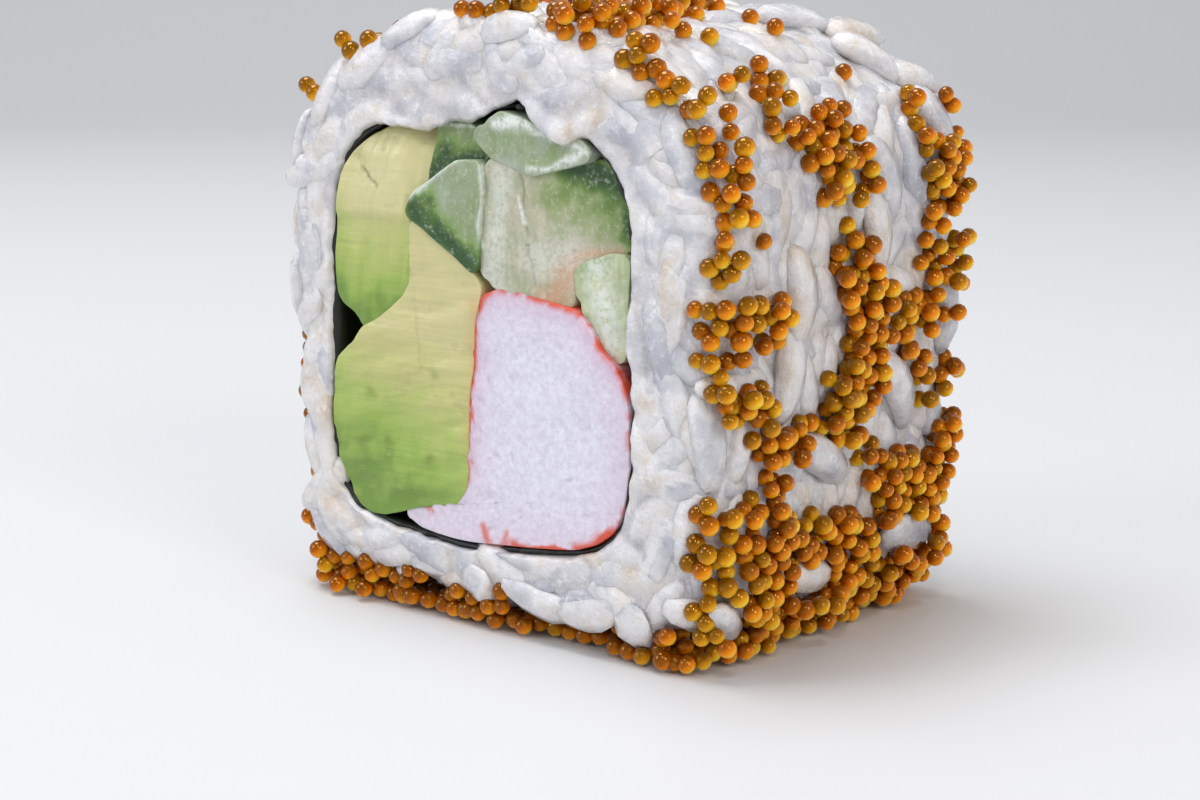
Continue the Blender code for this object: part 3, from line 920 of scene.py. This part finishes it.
def riceSkin(look):
    # the core's bare surface as a closed grid, rows of rings: front face, its rounded edge, the
    # outside, the back in mirror image and the wall of the hole; with each point's outward direction,
    # how much relief it carries and which part of the skin it is on
    angles = np.linspace(0, 2 * math.pi, 900, endpoint=False)
    slices = np.linspace(riceFront + 2, riceBack - 2, 9)
    reach = np.max([reachAt(cutRings("rice", y)[0], angles) for y in slices], 0)
    outer = evenRing(softened(fromMiddle(angles, reach), 12), look["around"])
    away = outward(softened(outer, 10))
    outer = outer - away * look["under"]
    flat = outer - look["middle"]
    angles = np.arctan2(flat[:, 1], flat[:, 0])
    inner = fromMiddle(angles, reachAt(cutRings("rice", 0.5)[1], angles))
    edge = (look["edge"] + 0.9 * away[:, :1]) * np.ones_like(away)
    # on the two faces the rice laps over the nori's edge, and farther over its double layer
    x, z = inner.T
    least, more = look["lap"]
    lap = least + more * underLap(x, z)
    spots = np.stack([x, 0 * x, z], 1)
    lap = lap + 0.3 * layeredNoise(spots, 3.5, 79) + 0.14 * layeredNoise(spots, 0.9, 80)
    lipped = inner - away * lap[:, None]
    profile = []  # from the hole to the outside: outline, depth, outward direction, weight, part
    for q in np.linspace(0, 1, look["faceRows"], endpoint=False):
        spot = lipped + (outer - away * edge - lipped) * q
        profile.append((spot, 0 * edge[:, 0], 0 * away, 1.0, 0.5 if q == 0 else 1.0, "face"))
    for t in np.linspace(0, math.pi / 2, look["edgeRows"] + 1):
        spot, depth = outer - away * edge * (1 - math.sin(t)), edge[:, 0] * (1 - math.cos(t))
        profile.append((spot, depth, away * math.sin(t), math.cos(t), 1.0, "edge"))

    def half(face, way):
        return [
            (inRoll(spot, face + way * depth), inRoll(sideways, -way * frontways), weight, part)
            for spot, depth, sideways, frontways, weight, part in profile
        ]

    front, back = riceFront + look["faceUnder"], riceBack - look["faceUnder"]
    frontHalf, backHalf = half(front, 1), half(back, -1)
    start, stop = frontHalf[-1][0][:, 1], backHalf[-1][0][:, 1]
    side = [
        (inRoll(outer, start * (1 - share) + stop * share), inRoll(away, 0.0), 1.0, "side")
        for share in np.linspace(0, 1, look["sideRows"] + 2)[1:-1]
    ]
    wall = [
        (inRoll(inner, back * (1 - share) + front * share), inRoll(-away, 0.0), 0.0, "wall")
        for share in look["wallRows"]
    ]
    return (np.array(column) for column in zip(*frontHalf, *side, *backHalf[::-1], *wall))


skin, skinNormals, skinWeights, skinParts = riceSkin(riceLook)
skinSpots, skinWays = skin.reshape(-1, 3), skinNormals.reshape(-1, 3)


def scatteredSpots(rng, spacing, tries, parts):
    # picks of the skin's points no nearer to one another than the spacing
    wide = np.linalg.norm(np.roll(skin, -1, 0) - skin, axis=-1)
    tall = np.linalg.norm(np.roll(skin, -1, 1) - skin, axis=-1)
    chance = (wide * tall * np.isin(skinParts, parts)[:, None]).ravel()
    kept, picks = np.zeros((0, 3)), []
    for pick in rng.choice(len(skinSpots), tries, p=chance / chance.sum()):
        if len(kept) == 0 or ((kept - skinSpots[pick]) ** 2).sum(1).min() > spacing**2:
            kept = np.vstack([kept, skinSpots[pick]])
            picks.append(pick)
    return np.array(picks)


def layFrames(normal, around, lean):
    # a frame for each grain, lying flat on the skin and turned by its lean from the way round the roll
    around = unit(around)
    ahead = around * np.cos(lean)[:, None] + np.cross(normal, around) * np.sin(lean)[:, None]
    return np.stack([ahead, np.cross(normal, ahead), normal], 1)


def layDirections(rng, picks, spread):
    # grains lie mostly round the roll; a share of them lies any way
    normal, count = skinWays[picks], len(picks)
    around = (np.roll(skin, -1, 1) - np.roll(skin, 1, 1)).reshape(-1, 3)[picks]
    around = around - normal * (around * normal).sum(1)[:, None]
    share, most = riceLook["anyWay"]
    anyWay = rng.random(count) < share
    lean = np.where(anyWay, rng.uniform(-most, most, count), rng.normal(0, spread, count))
    return layFrames(normal, around, lean)


def reliefCore(look):
    # each grain in the relief is a blunt cap: height c * sqrt(1 - r^2.6) less a sink, with r the
    # distance over its half length and half width; caps are joined by a soft maximum
    rng = np.random.default_rng(5)
    half, vary, spacing, tries, spread, (lowest, _), _, parts = look["grains"]["relief"]
    picks = scatteredSpots(rng, spacing, tries, parts)
    height, tint = np.full(len(skinSpots), look["floor"]), np.full(len(skinSpots), 0.5)
    for pick, lay in zip(picks, layDirections(rng, picks, spread)):
        size = rng.uniform(*vary, 3) * half
        sink, shade = rng.uniform(0.0, -lowest), rng.random()
        offset = skinSpots - skinSpots[pick]
        near = np.flatnonzero(((offset**2).sum(1) < size[0] ** 2) & ((skinWays * lay[2]).sum(1) > 0.2))
        local = offset[near] @ lay.T / size
        far = np.maximum(1 - (local[:, 0] ** 2 + local[:, 1] ** 2) ** 1.3, 0)
        cap = size[2] * np.sqrt(far) - sink
        old = height[near]
        soft = np.maximum(look["blend"] - np.abs(cap - old), 0) ** 2 / (4 * look["blend"])
        height[near] = np.maximum(old, cap) + soft * (far > 0)
        tint[near] = np.where(cap > old, shade, tint[near])
    ripple = layeredNoise(skinSpots, 1.3, 81) + 0.6 * layeredNoise(skinSpots, 0.6, 83)
    weight = np.repeat(skinWeights, look["around"])
    points = skinSpots + skinWays * ((height + look["ripple"] * ripple) * weight)[:, None]
    quads = gridFaces(*skin.shape[:2], wrapRows=True, wrapColumns=True)
    # how high a point lies on the caps, 1 at their tops; the material paints shade in the creases from it
    crest = 1 - (1 - np.clip(height / half[2], 0, 1)) * np.clip(weight * 2 - 1, 0.4, 1)
    return meshPiece("riceCore", points, quads, attributes={"tint": tint, "crest": crest})


def grainTemplate():
    # one grain along X with half sizes of 1: rings whose radius is (1 - |x|^2.8)^0.5, a little fuller
    # at one end, closed on a point at each end
    rings, count = 7, 8
    x = np.cos(np.linspace(0, math.pi, rings + 2)[1:-1])[:, None]
    radius = (1 - np.abs(x) ** 2.8) ** 0.5 * (1 - 0.12 * x)
    turn = np.linspace(0, 2 * math.pi, count, endpoint=False)
    body = np.stack([x + 0 * turn, radius * np.cos(turn), radius * np.sin(turn)], -1).reshape(-1, 3)
    return np.vstack([[1, 0, 0], body, [-1, 0, 0]]), *tubeFaces(rings, count)


def manyOf(template, centres, frames, sizes, marks, shape=None):
    # copies of a template joined into one piece: each turned by its frame, scaled and moved to its
    # centre; marks hold one value a copy
    points, quads, tris = template
    local = points[None] * sizes[:, None]
    if shape is not None:
        local = shape(local)
    placed = np.einsum("nvk,nkj->nvj", local, frames) + centres[:, None]
    count, each = placed.shape[:2]
    shift = (np.arange(count) * each)[:, None, None]
    quads, tris = (quads + shift).reshape(-1, 4), (tris + shift).reshape(-1, 3)
    return placed.reshape(-1, 3), quads, tris, {k: np.repeat(v, each) for k, v in marks.items()}


def bent(local):
    # a slight curve along the grain
    curve = 0.035 * local[..., :1] ** 2
    return local - curve * (0, 0.6, 1)


# Grains that stand out: angle round the roll from its right side in degrees, place along Y, how far it
# turns from lying round the roll in degrees, half length, half width, half thickness and lift in mm.
standingGrains = [
    (-21, -14.1, 8, 3.9, 1.25, 0.9, 1.0),
    (-42, 8.6, 84, 3.3, 1.5, 1.2, 2.2),
    (-47, -12.2, 48, 3.2, 1.3, 1.0, 1.5),
    (-57, -14.2, 70, 3.3, 1.6, 0.8, 1.3),
    (-44, -3.5, 80, 3.0, 1.4, 1.0, 1.5),
    (6, -6.7, 5, 4.2, 1.35, 1.1, 1.2),
    (-9, -6.9, -6, 4.0, 1.4, 1.1, 1.2),
    (-27, -2.5, 60, 3.7, 1.5, 1.1, 1.3),
    (-17, 7.0, 35, 4.0, 1.5, 1.1, 1.3),
    (-2, 13.0, 10, 3.6, 1.4, 1.1, 1.4),
    (63, 7.0, 50, 3.3, 1.5, 1.0, 1.3),
    (56, 11.0, 75, 3.0, 1.4, 1.0, 1.2),
    (49, 9.5, 35, 3.2, 1.4, 1.0, 1.2),
    (43, 12.5, 65, 3.0, 1.4, 1.0, 1.3),
    (35, 12.5, 25, 3.2, 1.4, 1.0, 1.1),
    (26, 4.0, 20, 3.6, 1.4, 1.0, 1.2),
    (16, 3.0, 12, 3.8, 1.4, 1.0, 1.2),
    (84, -14.6, 12, 2.6, 1.3, 0.8, 1.4),
    (150, -14.0, 0, 3.0, 1.5, 1.0, 1.4),
    (165, -13.6, 10, 2.8, 1.4, 1.0, 1.4),
    (180, -13.8, -8, 3.0, 1.4, 1.0, 1.4),
    (-66, -14.8, 15, 3.3, 1.5, 1.0, 1.1),
    (-78, -14.9, -12, 3.6, 1.5, 1.0, 0.9),
]


def standingSpots():
    # for the grains that stand out: the skin's point nearest to each, raised by its lift, its frame and
    # its half sizes
    angle, along, lean, *half, lift = np.array(standingGrains).T
    middleX, middleZ = riceLook["middle"]
    turn = np.arctan2(skinSpots[:, 2] - middleZ, skinSpots[:, 0] - middleX)
    offside = 99 * np.repeat(~np.isin(skinParts, ["edge", "side"]), riceLook["around"])
    apart = np.abs((turn - np.radians(angle)[:, None] + math.pi) % (2 * math.pi) - math.pi)
    miss = np.hypot(apart * riceLook["meanReach"], skinSpots[:, 1] - along[:, None]) + offside
    picks = miss.argmin(1)
    normal = skinWays[picks]
    frames = layFrames(normal, np.cross((0, 1, 0), normal), np.radians(lean))
    return skinSpots[picks] + normal * lift[:, None], frames, np.stack(half, 1)


standing = standingSpots()


def setGrains(look):
    rng = np.random.default_rng(9)
    made = []
    for kind in ("loose", "onFace"):
        half, vary, spacing, tries, spread, sits, clear, parts = look["grains"][kind]
        picks = scatteredSpots(rng, spacing, tries, parts)
        picks = picks[toNori(skinSpots[picks][:, [0, 2]]) > clear]
        frames = layDirections(rng, picks, spread)
        sizes = rng.uniform(*vary, (len(picks), 3)) * half
        raised = skinWays[picks] * rng.uniform(*sits, len(picks))[:, None]
        made.append((skinSpots[picks] + raised, frames, sizes))
    centres, frames, sizes = (np.concatenate(column) for column in zip(*made, standing))
    marks = {"tint": rng.random(len(centres)), "crest": np.ones(len(centres))}
    points, quads, tris, marks = manyOf(grainTemplate(), centres, frames, sizes, marks, bent)
    points = points + 0.15 * np.stack([layeredNoise(points, 1.5, 91 + k) for k in range(3)], -1)
    # where a grain sticks out past the rice's outline, most of what is too far out is drawn in
    flat = points[:, [0, 2]] - riceLook["middle"]
    reach = np.linalg.norm(flat, axis=1)
    past = reach - reachAt(evenRing(cutRings("rice", 0.5)[0], 150), np.arctan2(flat[:, 1], flat[:, 0]))
    flat *= (1 - 0.8 * np.maximum(past - look["mostPast"], 0) / reach)[:, None]
    points[:, [0, 2]] = flat + riceLook["middle"]
    # the knife has cut off whatever stood out of the two faces
    cut = 0.12 * layeredNoise(points * (1, 0, 1), 1.8, 95)
    for side, face in ((1, riceFront - 0.1), (-1, riceBack + 0.1)):
        inside = side * (points[:, 1] - face) - cut
        points[:, 1] = face + side * (cut + 0.5 * (inside + np.sqrt(inside**2 + 0.02)))
    return meshPiece("riceGrains", points, quads, tris, marks)


def riceMaterial():
    # cooked sushi rice: white, faintly blue and glassy, each grain a little different, with warm painted
    # shade in the creases and a damp, finely pitted surface
    made, tree = newMaterial("cookedRice")
    place = addNode(tree, "ShaderNodeTexCoord").outputs["Object"]
    cells = (0.5 / mm, 2.6 / mm, 0.5 / mm)
    along = addNode(tree, "ShaderNodeMapping", {"Vector": place, "Scale": cells}).outputs[0]
    patterns = (
        {"Vector": place, "Scale": 0.42 / mm, "Detail": 4.0},
        {"Vector": along, "Scale": 1.0, "Detail": 4.0, "Roughness": 0.65},
        {"Vector": place, "Scale": 1.8 / mm, "Detail": 6.0, "Roughness": 0.72},
    )
    cloud, smears, grit = (addNode(tree, "ShaderNodeTexNoise", p).outputs["Fac"] for p in patterns)
    tone = sumOf(tree, (0.6, "tint"), (1.5, cloud), (1.0, -0.55))
    tones = [(0.0, "#A9ABB8"), (0.3, "#C9C9CF"), (0.55, "#E3E1E3"), (0.8, "#DAD3CD"), (1.0, "#CFC0B2")]
    colour = coated(
        tree,
        addNode(tree, "ShaderNodeValToRGB", {"Fac": tone}, tones).outputs["Color"],
        # painted shade, warm, in the creases between grains
        ("#A39488", (-0.8, "crest"), (1.0, 0.6)),
        ("#B4B2B6", (-2.4, smears), (-2.4, grit), (1.0, 2.2)),
        ("#F6F5F6", (3.4, grit), (2.4, smears), (1.0, -3.1)),
    )
    height = sumOf(tree, (0.6, grit), (0.5, smears))
    bump = addNode(tree, "ShaderNodeBump", {"Height": height, "Strength": 0.9, "Distance": 0.4 * mm})
    film = addNode(tree, "ShaderNodeBump", {"Height": grit, "Strength": 0.35, "Distance": 0.3 * mm})
    finish = {
        "Base Color": colour,
        "Roughness": 0.2,
        "Subsurface Weight": 0.3,
        "Subsurface Radius": (1.0, 0.9, 0.82),
        "Subsurface Scale": 0.4 * mm,
        "Coat Weight": 1.0,
        "Coat Roughness": 0.08,
        "Coat Normal": film.outputs["Normal"],
        "Normal": bump.outputs["Normal"],
    }
    return finishMaterial(made, finish)


riceCore = reliefCore(riceLook)
riceGrains = setGrains(riceLook)
cooked = riceMaterial()
for piece in (riceCore, riceGrains):
    dress(piece, cooked, "rice")
print("the rice is made")

# Roe: beads pressed into the rice, heaped in places, and a bed of them under the roll.
roeLook = {
    "radius": 0.7,
    "spacing": 1.17,
    "sunk": 0.38,
    "pile": 1.5,
    "choices": 5,
    # towards the light: the beads' painted shade lies on this side and their painted glow on the other
    "lit": (-0.3, -0.5, 0.81),
    "meanReach": 23.0,  # from the roll's middle line to a bead
    "drop": 45.0,  # how far out each bead starts to fall
    "spread": 0.04,  # how much the radius varies, within its least and most
    "least": 0.6,
    "most": 0.76,
    "lowest": 1.14,  # the least height of a bead's centre over the board, in bead radii
    "bedStep": 2.02,  # between the bed's beads, in bead radii, and how near its rows lie to that
    "bedRows": 0.87,
}

# Where beads lie on the outside: angle round the roll from its right side in degrees, place along Y in
# mm, half widths round and along the roll in mm, how many, and the share of golden ones.
roeClusters = [
    (70, -13.0, 3.0, 2.6, 30, 0.15),
    (73, -6.5, 2.2, 3.6, 24, 0.15),
    (74, 0.0, 1.6, 3.0, 10, 0.3),
    (84, -15.0, 1.8, 0.8, 6, 0.7),
    (92, -15.0, 0.8, 0.6, 2, 0.5),
    (98, -14.5, 0.6, 0.6, 1, 0.4),
    (60, -8.9, 0.7, 0.7, 2, 0.4),
    (58, -7.1, 0.6, 0.6, 1, 0.4),
    (65, 2.5, 0.6, 0.6, 1, 0.3),
    (57, 0.9, 0.4, 0.4, 1, 0.3),
    (46, 5.0, 0.4, 0.4, 1, 0.3),
    (56, -15.3, 1.3, 0.6, 4, 0.3),
    (51, -15.2, 2.2, 0.6, 7, 0.4),
    (46, -15.5, 0.9, 0.5, 3, 0.9),
    (43, -15.1, 1.5, 0.6, 4, 0.7),
    (40, -15.8, 0.3, 0.3, 1, 0.5),
    (39, -13.2, 0.5, 0.5, 1, 0.6),
    (35, -13.1, 0.5, 0.5, 1, 0.2),
    (45, -10.3, 0.9, 0.9, 3, 0.9),
    (47, -4.8, 1.0, 1.6, 5, 0.5),
    (38, -8.0, 1.6, 1.2, 8, 0.4),
    (32, -2.5, 2.2, 3.4, 34, 0.25),
    (26, -1.5, 1.8, 3.0, 18, 0.3),
    (35, -15.6, 1.6, 0.7, 7, 0.6),
    (30, -14.6, 2.2, 0.8, 10, 0.3),
    (25, -14.0, 2.0, 0.8, 6, 0.3),
    (30, -13.3, 0.4, 0.4, 1, 0.1),
    (30, 9.0, 4.0, 0.8, 12, 0.7),
    (35, 13.6, 1.0, 1.0, 4, 0.5),
    (26, 12.6, 3.6, 2.2, 40, 0.15),
    (17, -15.0, 2.6, 0.7, 8, 0.8),
    (17, -11.3, 0.4, 0.4, 1, 0.1),
    (18, -15.7, 0.3, 0.3, 1, 0.8),
    (18, -0.9, 0.4, 0.4, 1, 0.6),
    (19, 3.4, 2.4, 1.0, 8, 0.6),
    (14, 9.5, 2.4, 1.2, 7, 0.6),
    (11, -6.6, 0.6, 0.9, 3, 0.7),
    (9, -0.4, 2.6, 2.4, 26, 0.4),
    (5, 12.8, 3.4, 2.4, 26, 0.3),
    (4, -14.8, 1.6, 1.6, 16, 0.5),
    (3, -10.9, 1.9, 2.0, 14, 0.6),
    (-3, -14.6, 1.4, 1.8, 14, 0.4),
    (-2, -8.3, 0.4, 0.4, 1, 0.7),
    (-7, -6.3, 0.5, 0.5, 2, 0.6),
    (-10, -15.4, 1.6, 0.7, 8, 0.6),
    (-19, -15.6, 1.6, 0.5, 6, 0.9),
    (-12, -12.0, 1.4, 1.6, 13, 0.3),
    (-18, -12.0, 0.5, 0.5, 1, 0.9),
    (0, 1.6, 3.4, 2.4, 36, 0.4),
    (-8, 1.6, 3.4, 2.6, 40, 0.4),
    (-16, -0.8, 2.8, 2.6, 34, 0.4),
    (-5, 8.0, 3.0, 2.0, 16, 0.4),
    (-17, 8.5, 1.6, 1.8, 7, 0.8),
    (-15, 14.2, 2.0, 1.2, 8, 0.4),
    (-21, -6.6, 1.2, 4.2, 20, 0.1),
    (-36, -15.0, 3.0, 1.6, 40, 0.75),
    (-42, -15.2, 2.2, 1.2, 22, 0.8),
    (-29, -9.0, 1.2, 1.4, 10, 0.1),
    (-28, 3.6, 1.2, 1.6, 9, 0.3),
    (-25, -3.8, 0.7, 0.9, 3, 0.3),
    (-34, -10.5, 2.2, 2.6, 36, 0.2),
    (-39, -9.0, 2.6, 4.4, 80, 0.15),
    (-38, -3.0, 1.8, 3.4, 50, 0.2),
    (-41, 0.0, 2.2, 4.6, 70, 0.35),
    (-33, 7.0, 2.0, 3.4, 50, 0.3),
    (-36, 9.5, 2.8, 4.4, 64, 0.3),
    (-30, 13.2, 3.0, 2.4, 50, 0.1),
    (-43, 13.0, 2.4, 2.6, 34, 0.4),
    (-42, -8.0, 1.4, 3.6, 22, 0.15),
    (-50, 1.0, 2.6, 5.0, 60, 0.45),
    (-50, 10.0, 2.6, 5.0, 66, 0.3),
    (-55, -6.0, 2.6, 5.0, 60, 0.3),
    (-58, -13.0, 2.2, 2.6, 36, 0.15),
    (-62, 8.0, 2.4, 8.0, 70, 0.3),
    (-52, -15.6, 0.6, 0.4, 2, 0.9),
    (-63, -15.6, 0.4, 0.3, 1, 0.4),
    (-85, -15.4, 0.5, 0.3, 2, 0.4),
    (-70, -16.0, 3.0, 0.8, 10, 0.2),
    (-84, -15.6, 3.5, 0.8, 6, 0.3),
    (-100, -15.6, 2.0, 0.8, 4, 0.3),
    (-116, -15.4, 3.0, 0.9, 8, 0.2),
    (-128, -15.0, 2.0, 1.4, 12, 0.3),
    (128, -15.4, 0.8, 0.5, 2, 0.9),
    (124, -15.1, 0.4, 0.4, 1, 0.9),
    (140, -15.3, 0.4, 0.4, 2, 0.2),
    (178, -12.0, 3.2, 2.2, 9, 0.3),
    (192, -12.0, 3.0, 2.2, 12, 0.3),
    (203, -12.4, 2.4, 2.0, 8, 0.3),
    (214, -12.6, 2.0, 1.8, 6, 0.6),
    (226, -12.0, 3.0, 3.0, 22, 0.2),
]
# Beads elsewhere, where nothing tells how they lie: heaps of a like size, thrown at random on the left,
# the back edge and the rear half of the top.
roeElsewhere = {"heaps": 30, "angles": (75, 232), "along": (-8, 14), "most": 14, "golden": 0.4}


def roeHeaps(look):
    rng = np.random.default_rng(15)
    made = list(roeClusters)
    for _ in range(look["heaps"]):
        angle, along = rng.uniform(*look["angles"]), rng.uniform(*look["along"])
        count = int(rng.integers(2, look["most"]))
        made.append((angle, along, 0.55 * count**0.6, 0.6 * count**0.6, count, look["golden"]))
    return made


def restOn(ground, centres, origin, way, look):
    # how far a bead dropped along a way ends up above the rice, and its centre: the beads beside its
    # path hold it where their centres are one spacing apart
    hit, _, _, distance = ground.ray_cast(Vector(origin), Vector(way))
    if hit is None:
        return 99.0, origin
    bare = distance - look["radius"] + look["sunk"]
    offset = centres - origin
    depth = offset @ way
    aside = look["spacing"] ** 2 - (offset**2).sum(1) + depth**2
    held = depth[aside > 0] - np.sqrt(aside[aside > 0])
    stop = min([bare, *held])
    return bare - stop, origin + way * stop


def restingBeads(look):
    # beads are dropped straight at the roll's middle line, one by one, each at the lowest of a few
    # places in its heap, and never on a grain that stands out
    rng = np.random.default_rng(17)
    spots, faces, start = [], [], 0
    for data in (riceCore.data, riceGrains.data):
        flat = np.zeros(len(data.vertices) * 3, np.float32)
        data.vertices.foreach_get("co", flat)
        spots += (flat.reshape(-1, 3) / mm).tolist()
        faces += [[start + v for v in face.vertices] for face in data.polygons]
        start = len(spots)
    ground = BVHTree.FromPolygons(spots, faces)
    centres, golden = np.zeros((0, 3)), []
    middleX, middleZ = riceLook["middle"]
    boxLow, boxHigh = (np.array(c) / mm for c in cadBox)
    boxLow, boxHigh = boxLow + (0.05, 0.4, 0), boxHigh - (0.05, 0.4, -0.5)
    for angle, along, wide, deep, count, share in roeHeaps(roeElsewhere):
        for _ in range(count):
            best = None
            for spread in rng.uniform(-1, 1, (look["choices"], 2)):
                spread = spread / max(1, np.hypot(*spread))
                turn = math.radians(angle) + spread[0] * wide / look["meanReach"]
                way = np.array([-math.cos(turn), 0, -math.sin(turn)])
                place = np.clip(along + spread[1] * deep, riceFront + 0.5, riceBack - 0.5)
                foot = np.array([middleX, place, middleZ])
                raised, centre = restOn(ground, centres, foot - way * look["drop"], way, look)
                centre = np.clip(centre, boxLow, boxHigh)
                free = centre[2] > look["radius"] * look["lowest"]
                for spot, lay, size in zip(*standing):
                    # not beside a grain that stands out, nor up to 4 mm above or below it
                    local = lay @ (centre - spot) / (size[0] + 0.2, size[1] + 0.2, 4)
                    free = free and (local**2).sum() > 1
                if free and (best is None or raised < best[0]):
                    best = (raised, centre)
            if best is not None and best[0] < look["pile"]:
                centres = np.vstack([centres, best[1]])
                golden.append(rng.random() < share)
    return centres, np.array(golden, float)


def bedBeads(look):
    # rows of beads on the board under the whole roll, staggered and jostled, inside the bed's outline
    rng = np.random.default_rng(19)
    low, high = (np.array(c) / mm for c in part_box("roe_bed"))
    step, row = look["radius"] * look["bedStep"], look["radius"] * look["bedStep"] * look["bedRows"]
    x, y = np.meshgrid(np.arange(low[0], high[0], step), np.arange(low[1], high[1], row))
    x = x + (np.arange(len(x)) % 2)[:, None] * step / 2
    spots = np.stack([x, y, 0 * x + look["radius"] * 1.1], -1).reshape(-1, 3)
    spots += np.abs(rng.normal(0, 0.2, (len(spots), 3))) * rng.choice([-1, 1], (len(spots), 3)) ** (1, 1, 2)
    outline = layeredNoise(spots * (1, 1, 0), 4.5, 101)
    rim = np.minimum(spots[:, :2] - low[:2], high[:2] - spots[:, :2]).min(1)
    spots = spots[rim > np.maximum(0.1, 0.7 + 2.4 * outline)]
    return spots, (rng.random(len(spots)) < 0.3).astype(float)


def beadTemplate():
    # a ball from six squares of 3 by 3 faces pushed out to it, each point at (s, u, s v) before it is
    # brought to length 1, so that every side faces outward; shared edge points are merged
    step = np.tan(np.linspace(-1, 1, 4) * math.pi / 4)
    u, v = (g.ravel() for g in np.meshgrid(step, step, indexing="ij"))
    sides = [np.roll(np.stack([0 * u + s, u, v * s], 1), k, 1) for k in range(3) for s in (-1, 1)]
    points, index = np.unique(np.concatenate(sides).round(6), axis=0, return_inverse=True)
    quads = np.concatenate([16 * k + gridFaces(4, 4) for k in range(6)])
    return unit(points), index.ravel()[quads], np.zeros((0, 3), int)


def turnedFrames(rng, count):
    # frames turned any way, from random unit quaternions
    w, x, y, z = (q := rng.normal(0, 1, (count, 4)).T) / np.linalg.norm(q, axis=0)
    return np.stack(
        [
            np.stack([1 - 2 * (y * y + z * z), 2 * (x * y - z * w), 2 * (x * z + y * w)], -1),
            np.stack([2 * (x * y + z * w), 1 - 2 * (x * x + z * z), 2 * (y * z - x * w)], -1),
            np.stack([2 * (x * z - y * w), 2 * (y * z + x * w), 1 - 2 * (x * x + y * y)], -1),
        ],
        1,
    )


def beadPiece(name, centres, golden, seed):
    # painted glow and shade: how far round each point of a bead lies from its lit upper side; the colour
    # darkens on that side and glows on the other
    rng = np.random.default_rng(seed)
    count = len(centres)
    sizes = rng.normal(roeLook["radius"], roeLook["spread"], (count, 1))
    sizes = sizes.clip(roeLook["least"], roeLook["most"]) * rng.uniform(0.94, 1.03, (count, 3))
    marks = {"golden": np.clip(golden + rng.normal(0, 0.12, count), 0, 1), "shade": rng.random(count)}
    points, quads, tris, marks = manyOf(beadTemplate(), centres, turnedFrames(rng, count), sizes, marks)
    away = unit(points - np.repeat(centres, len(points) // count, 0))
    marks["glow"] = 0.5 - 0.5 * away @ roeLook["lit"]
    return meshPiece(name, points, quads, tris, marks)


def roeMaterial():
    # fish roe: clear amber skins round an oily inside, some golden; the light that passes through is
    # painted into the colour, with painted shade making a bead deep amber on its lit side and a painted
    # glow on the other
    made, tree = newMaterial("amberRoe")
    # the ramps' place: each bead's random tone plus the painted glow and shade
    depth = sumOf(tree, (0.35, "shade"), (1.2, "glow"), (1.0, -0.25))
    amber, gold = (
        addNode(tree, "ShaderNodeValToRGB", {"Fac": depth}, list(zip((0, 0.35, 0.65, 1), tones)))
        for tones in (
            ("#663200", "#924A00", "#DA8000", "#FFB830"),
            ("#664200", "#8A5A00", "#D09200", "#FFCE44"),
        )
    )
    finish = {
        "Base Color": coated(tree, amber.outputs[0], (gold.outputs[0], (1.0, "golden"))),
        "Roughness": 0.06,
        "Specular IOR Level": 1.0,
        "Specular Tint": "#FFC468",
        "Subsurface Weight": 0.85,
        "Subsurface Radius": (1.0, 0.72, 0.15),
        "Subsurface Scale": 1.8 * mm,
    }
    return finishMaterial(made, finish)


sideCentres, sideGolden = restingBeads(roeLook)
bedCentres, bedGolden = bedBeads(roeLook)
roe = roeMaterial()
dress(beadPiece("roeSideBeads", sideCentres, sideGolden, 21), roe, "roe_side")
dress(beadPiece("roeBedBeads", bedCentres, bedGolden, 23), roe, "roe_bed")
print("the roe is made:", len(sideCentres), "and", len(bedCentres), "beads")
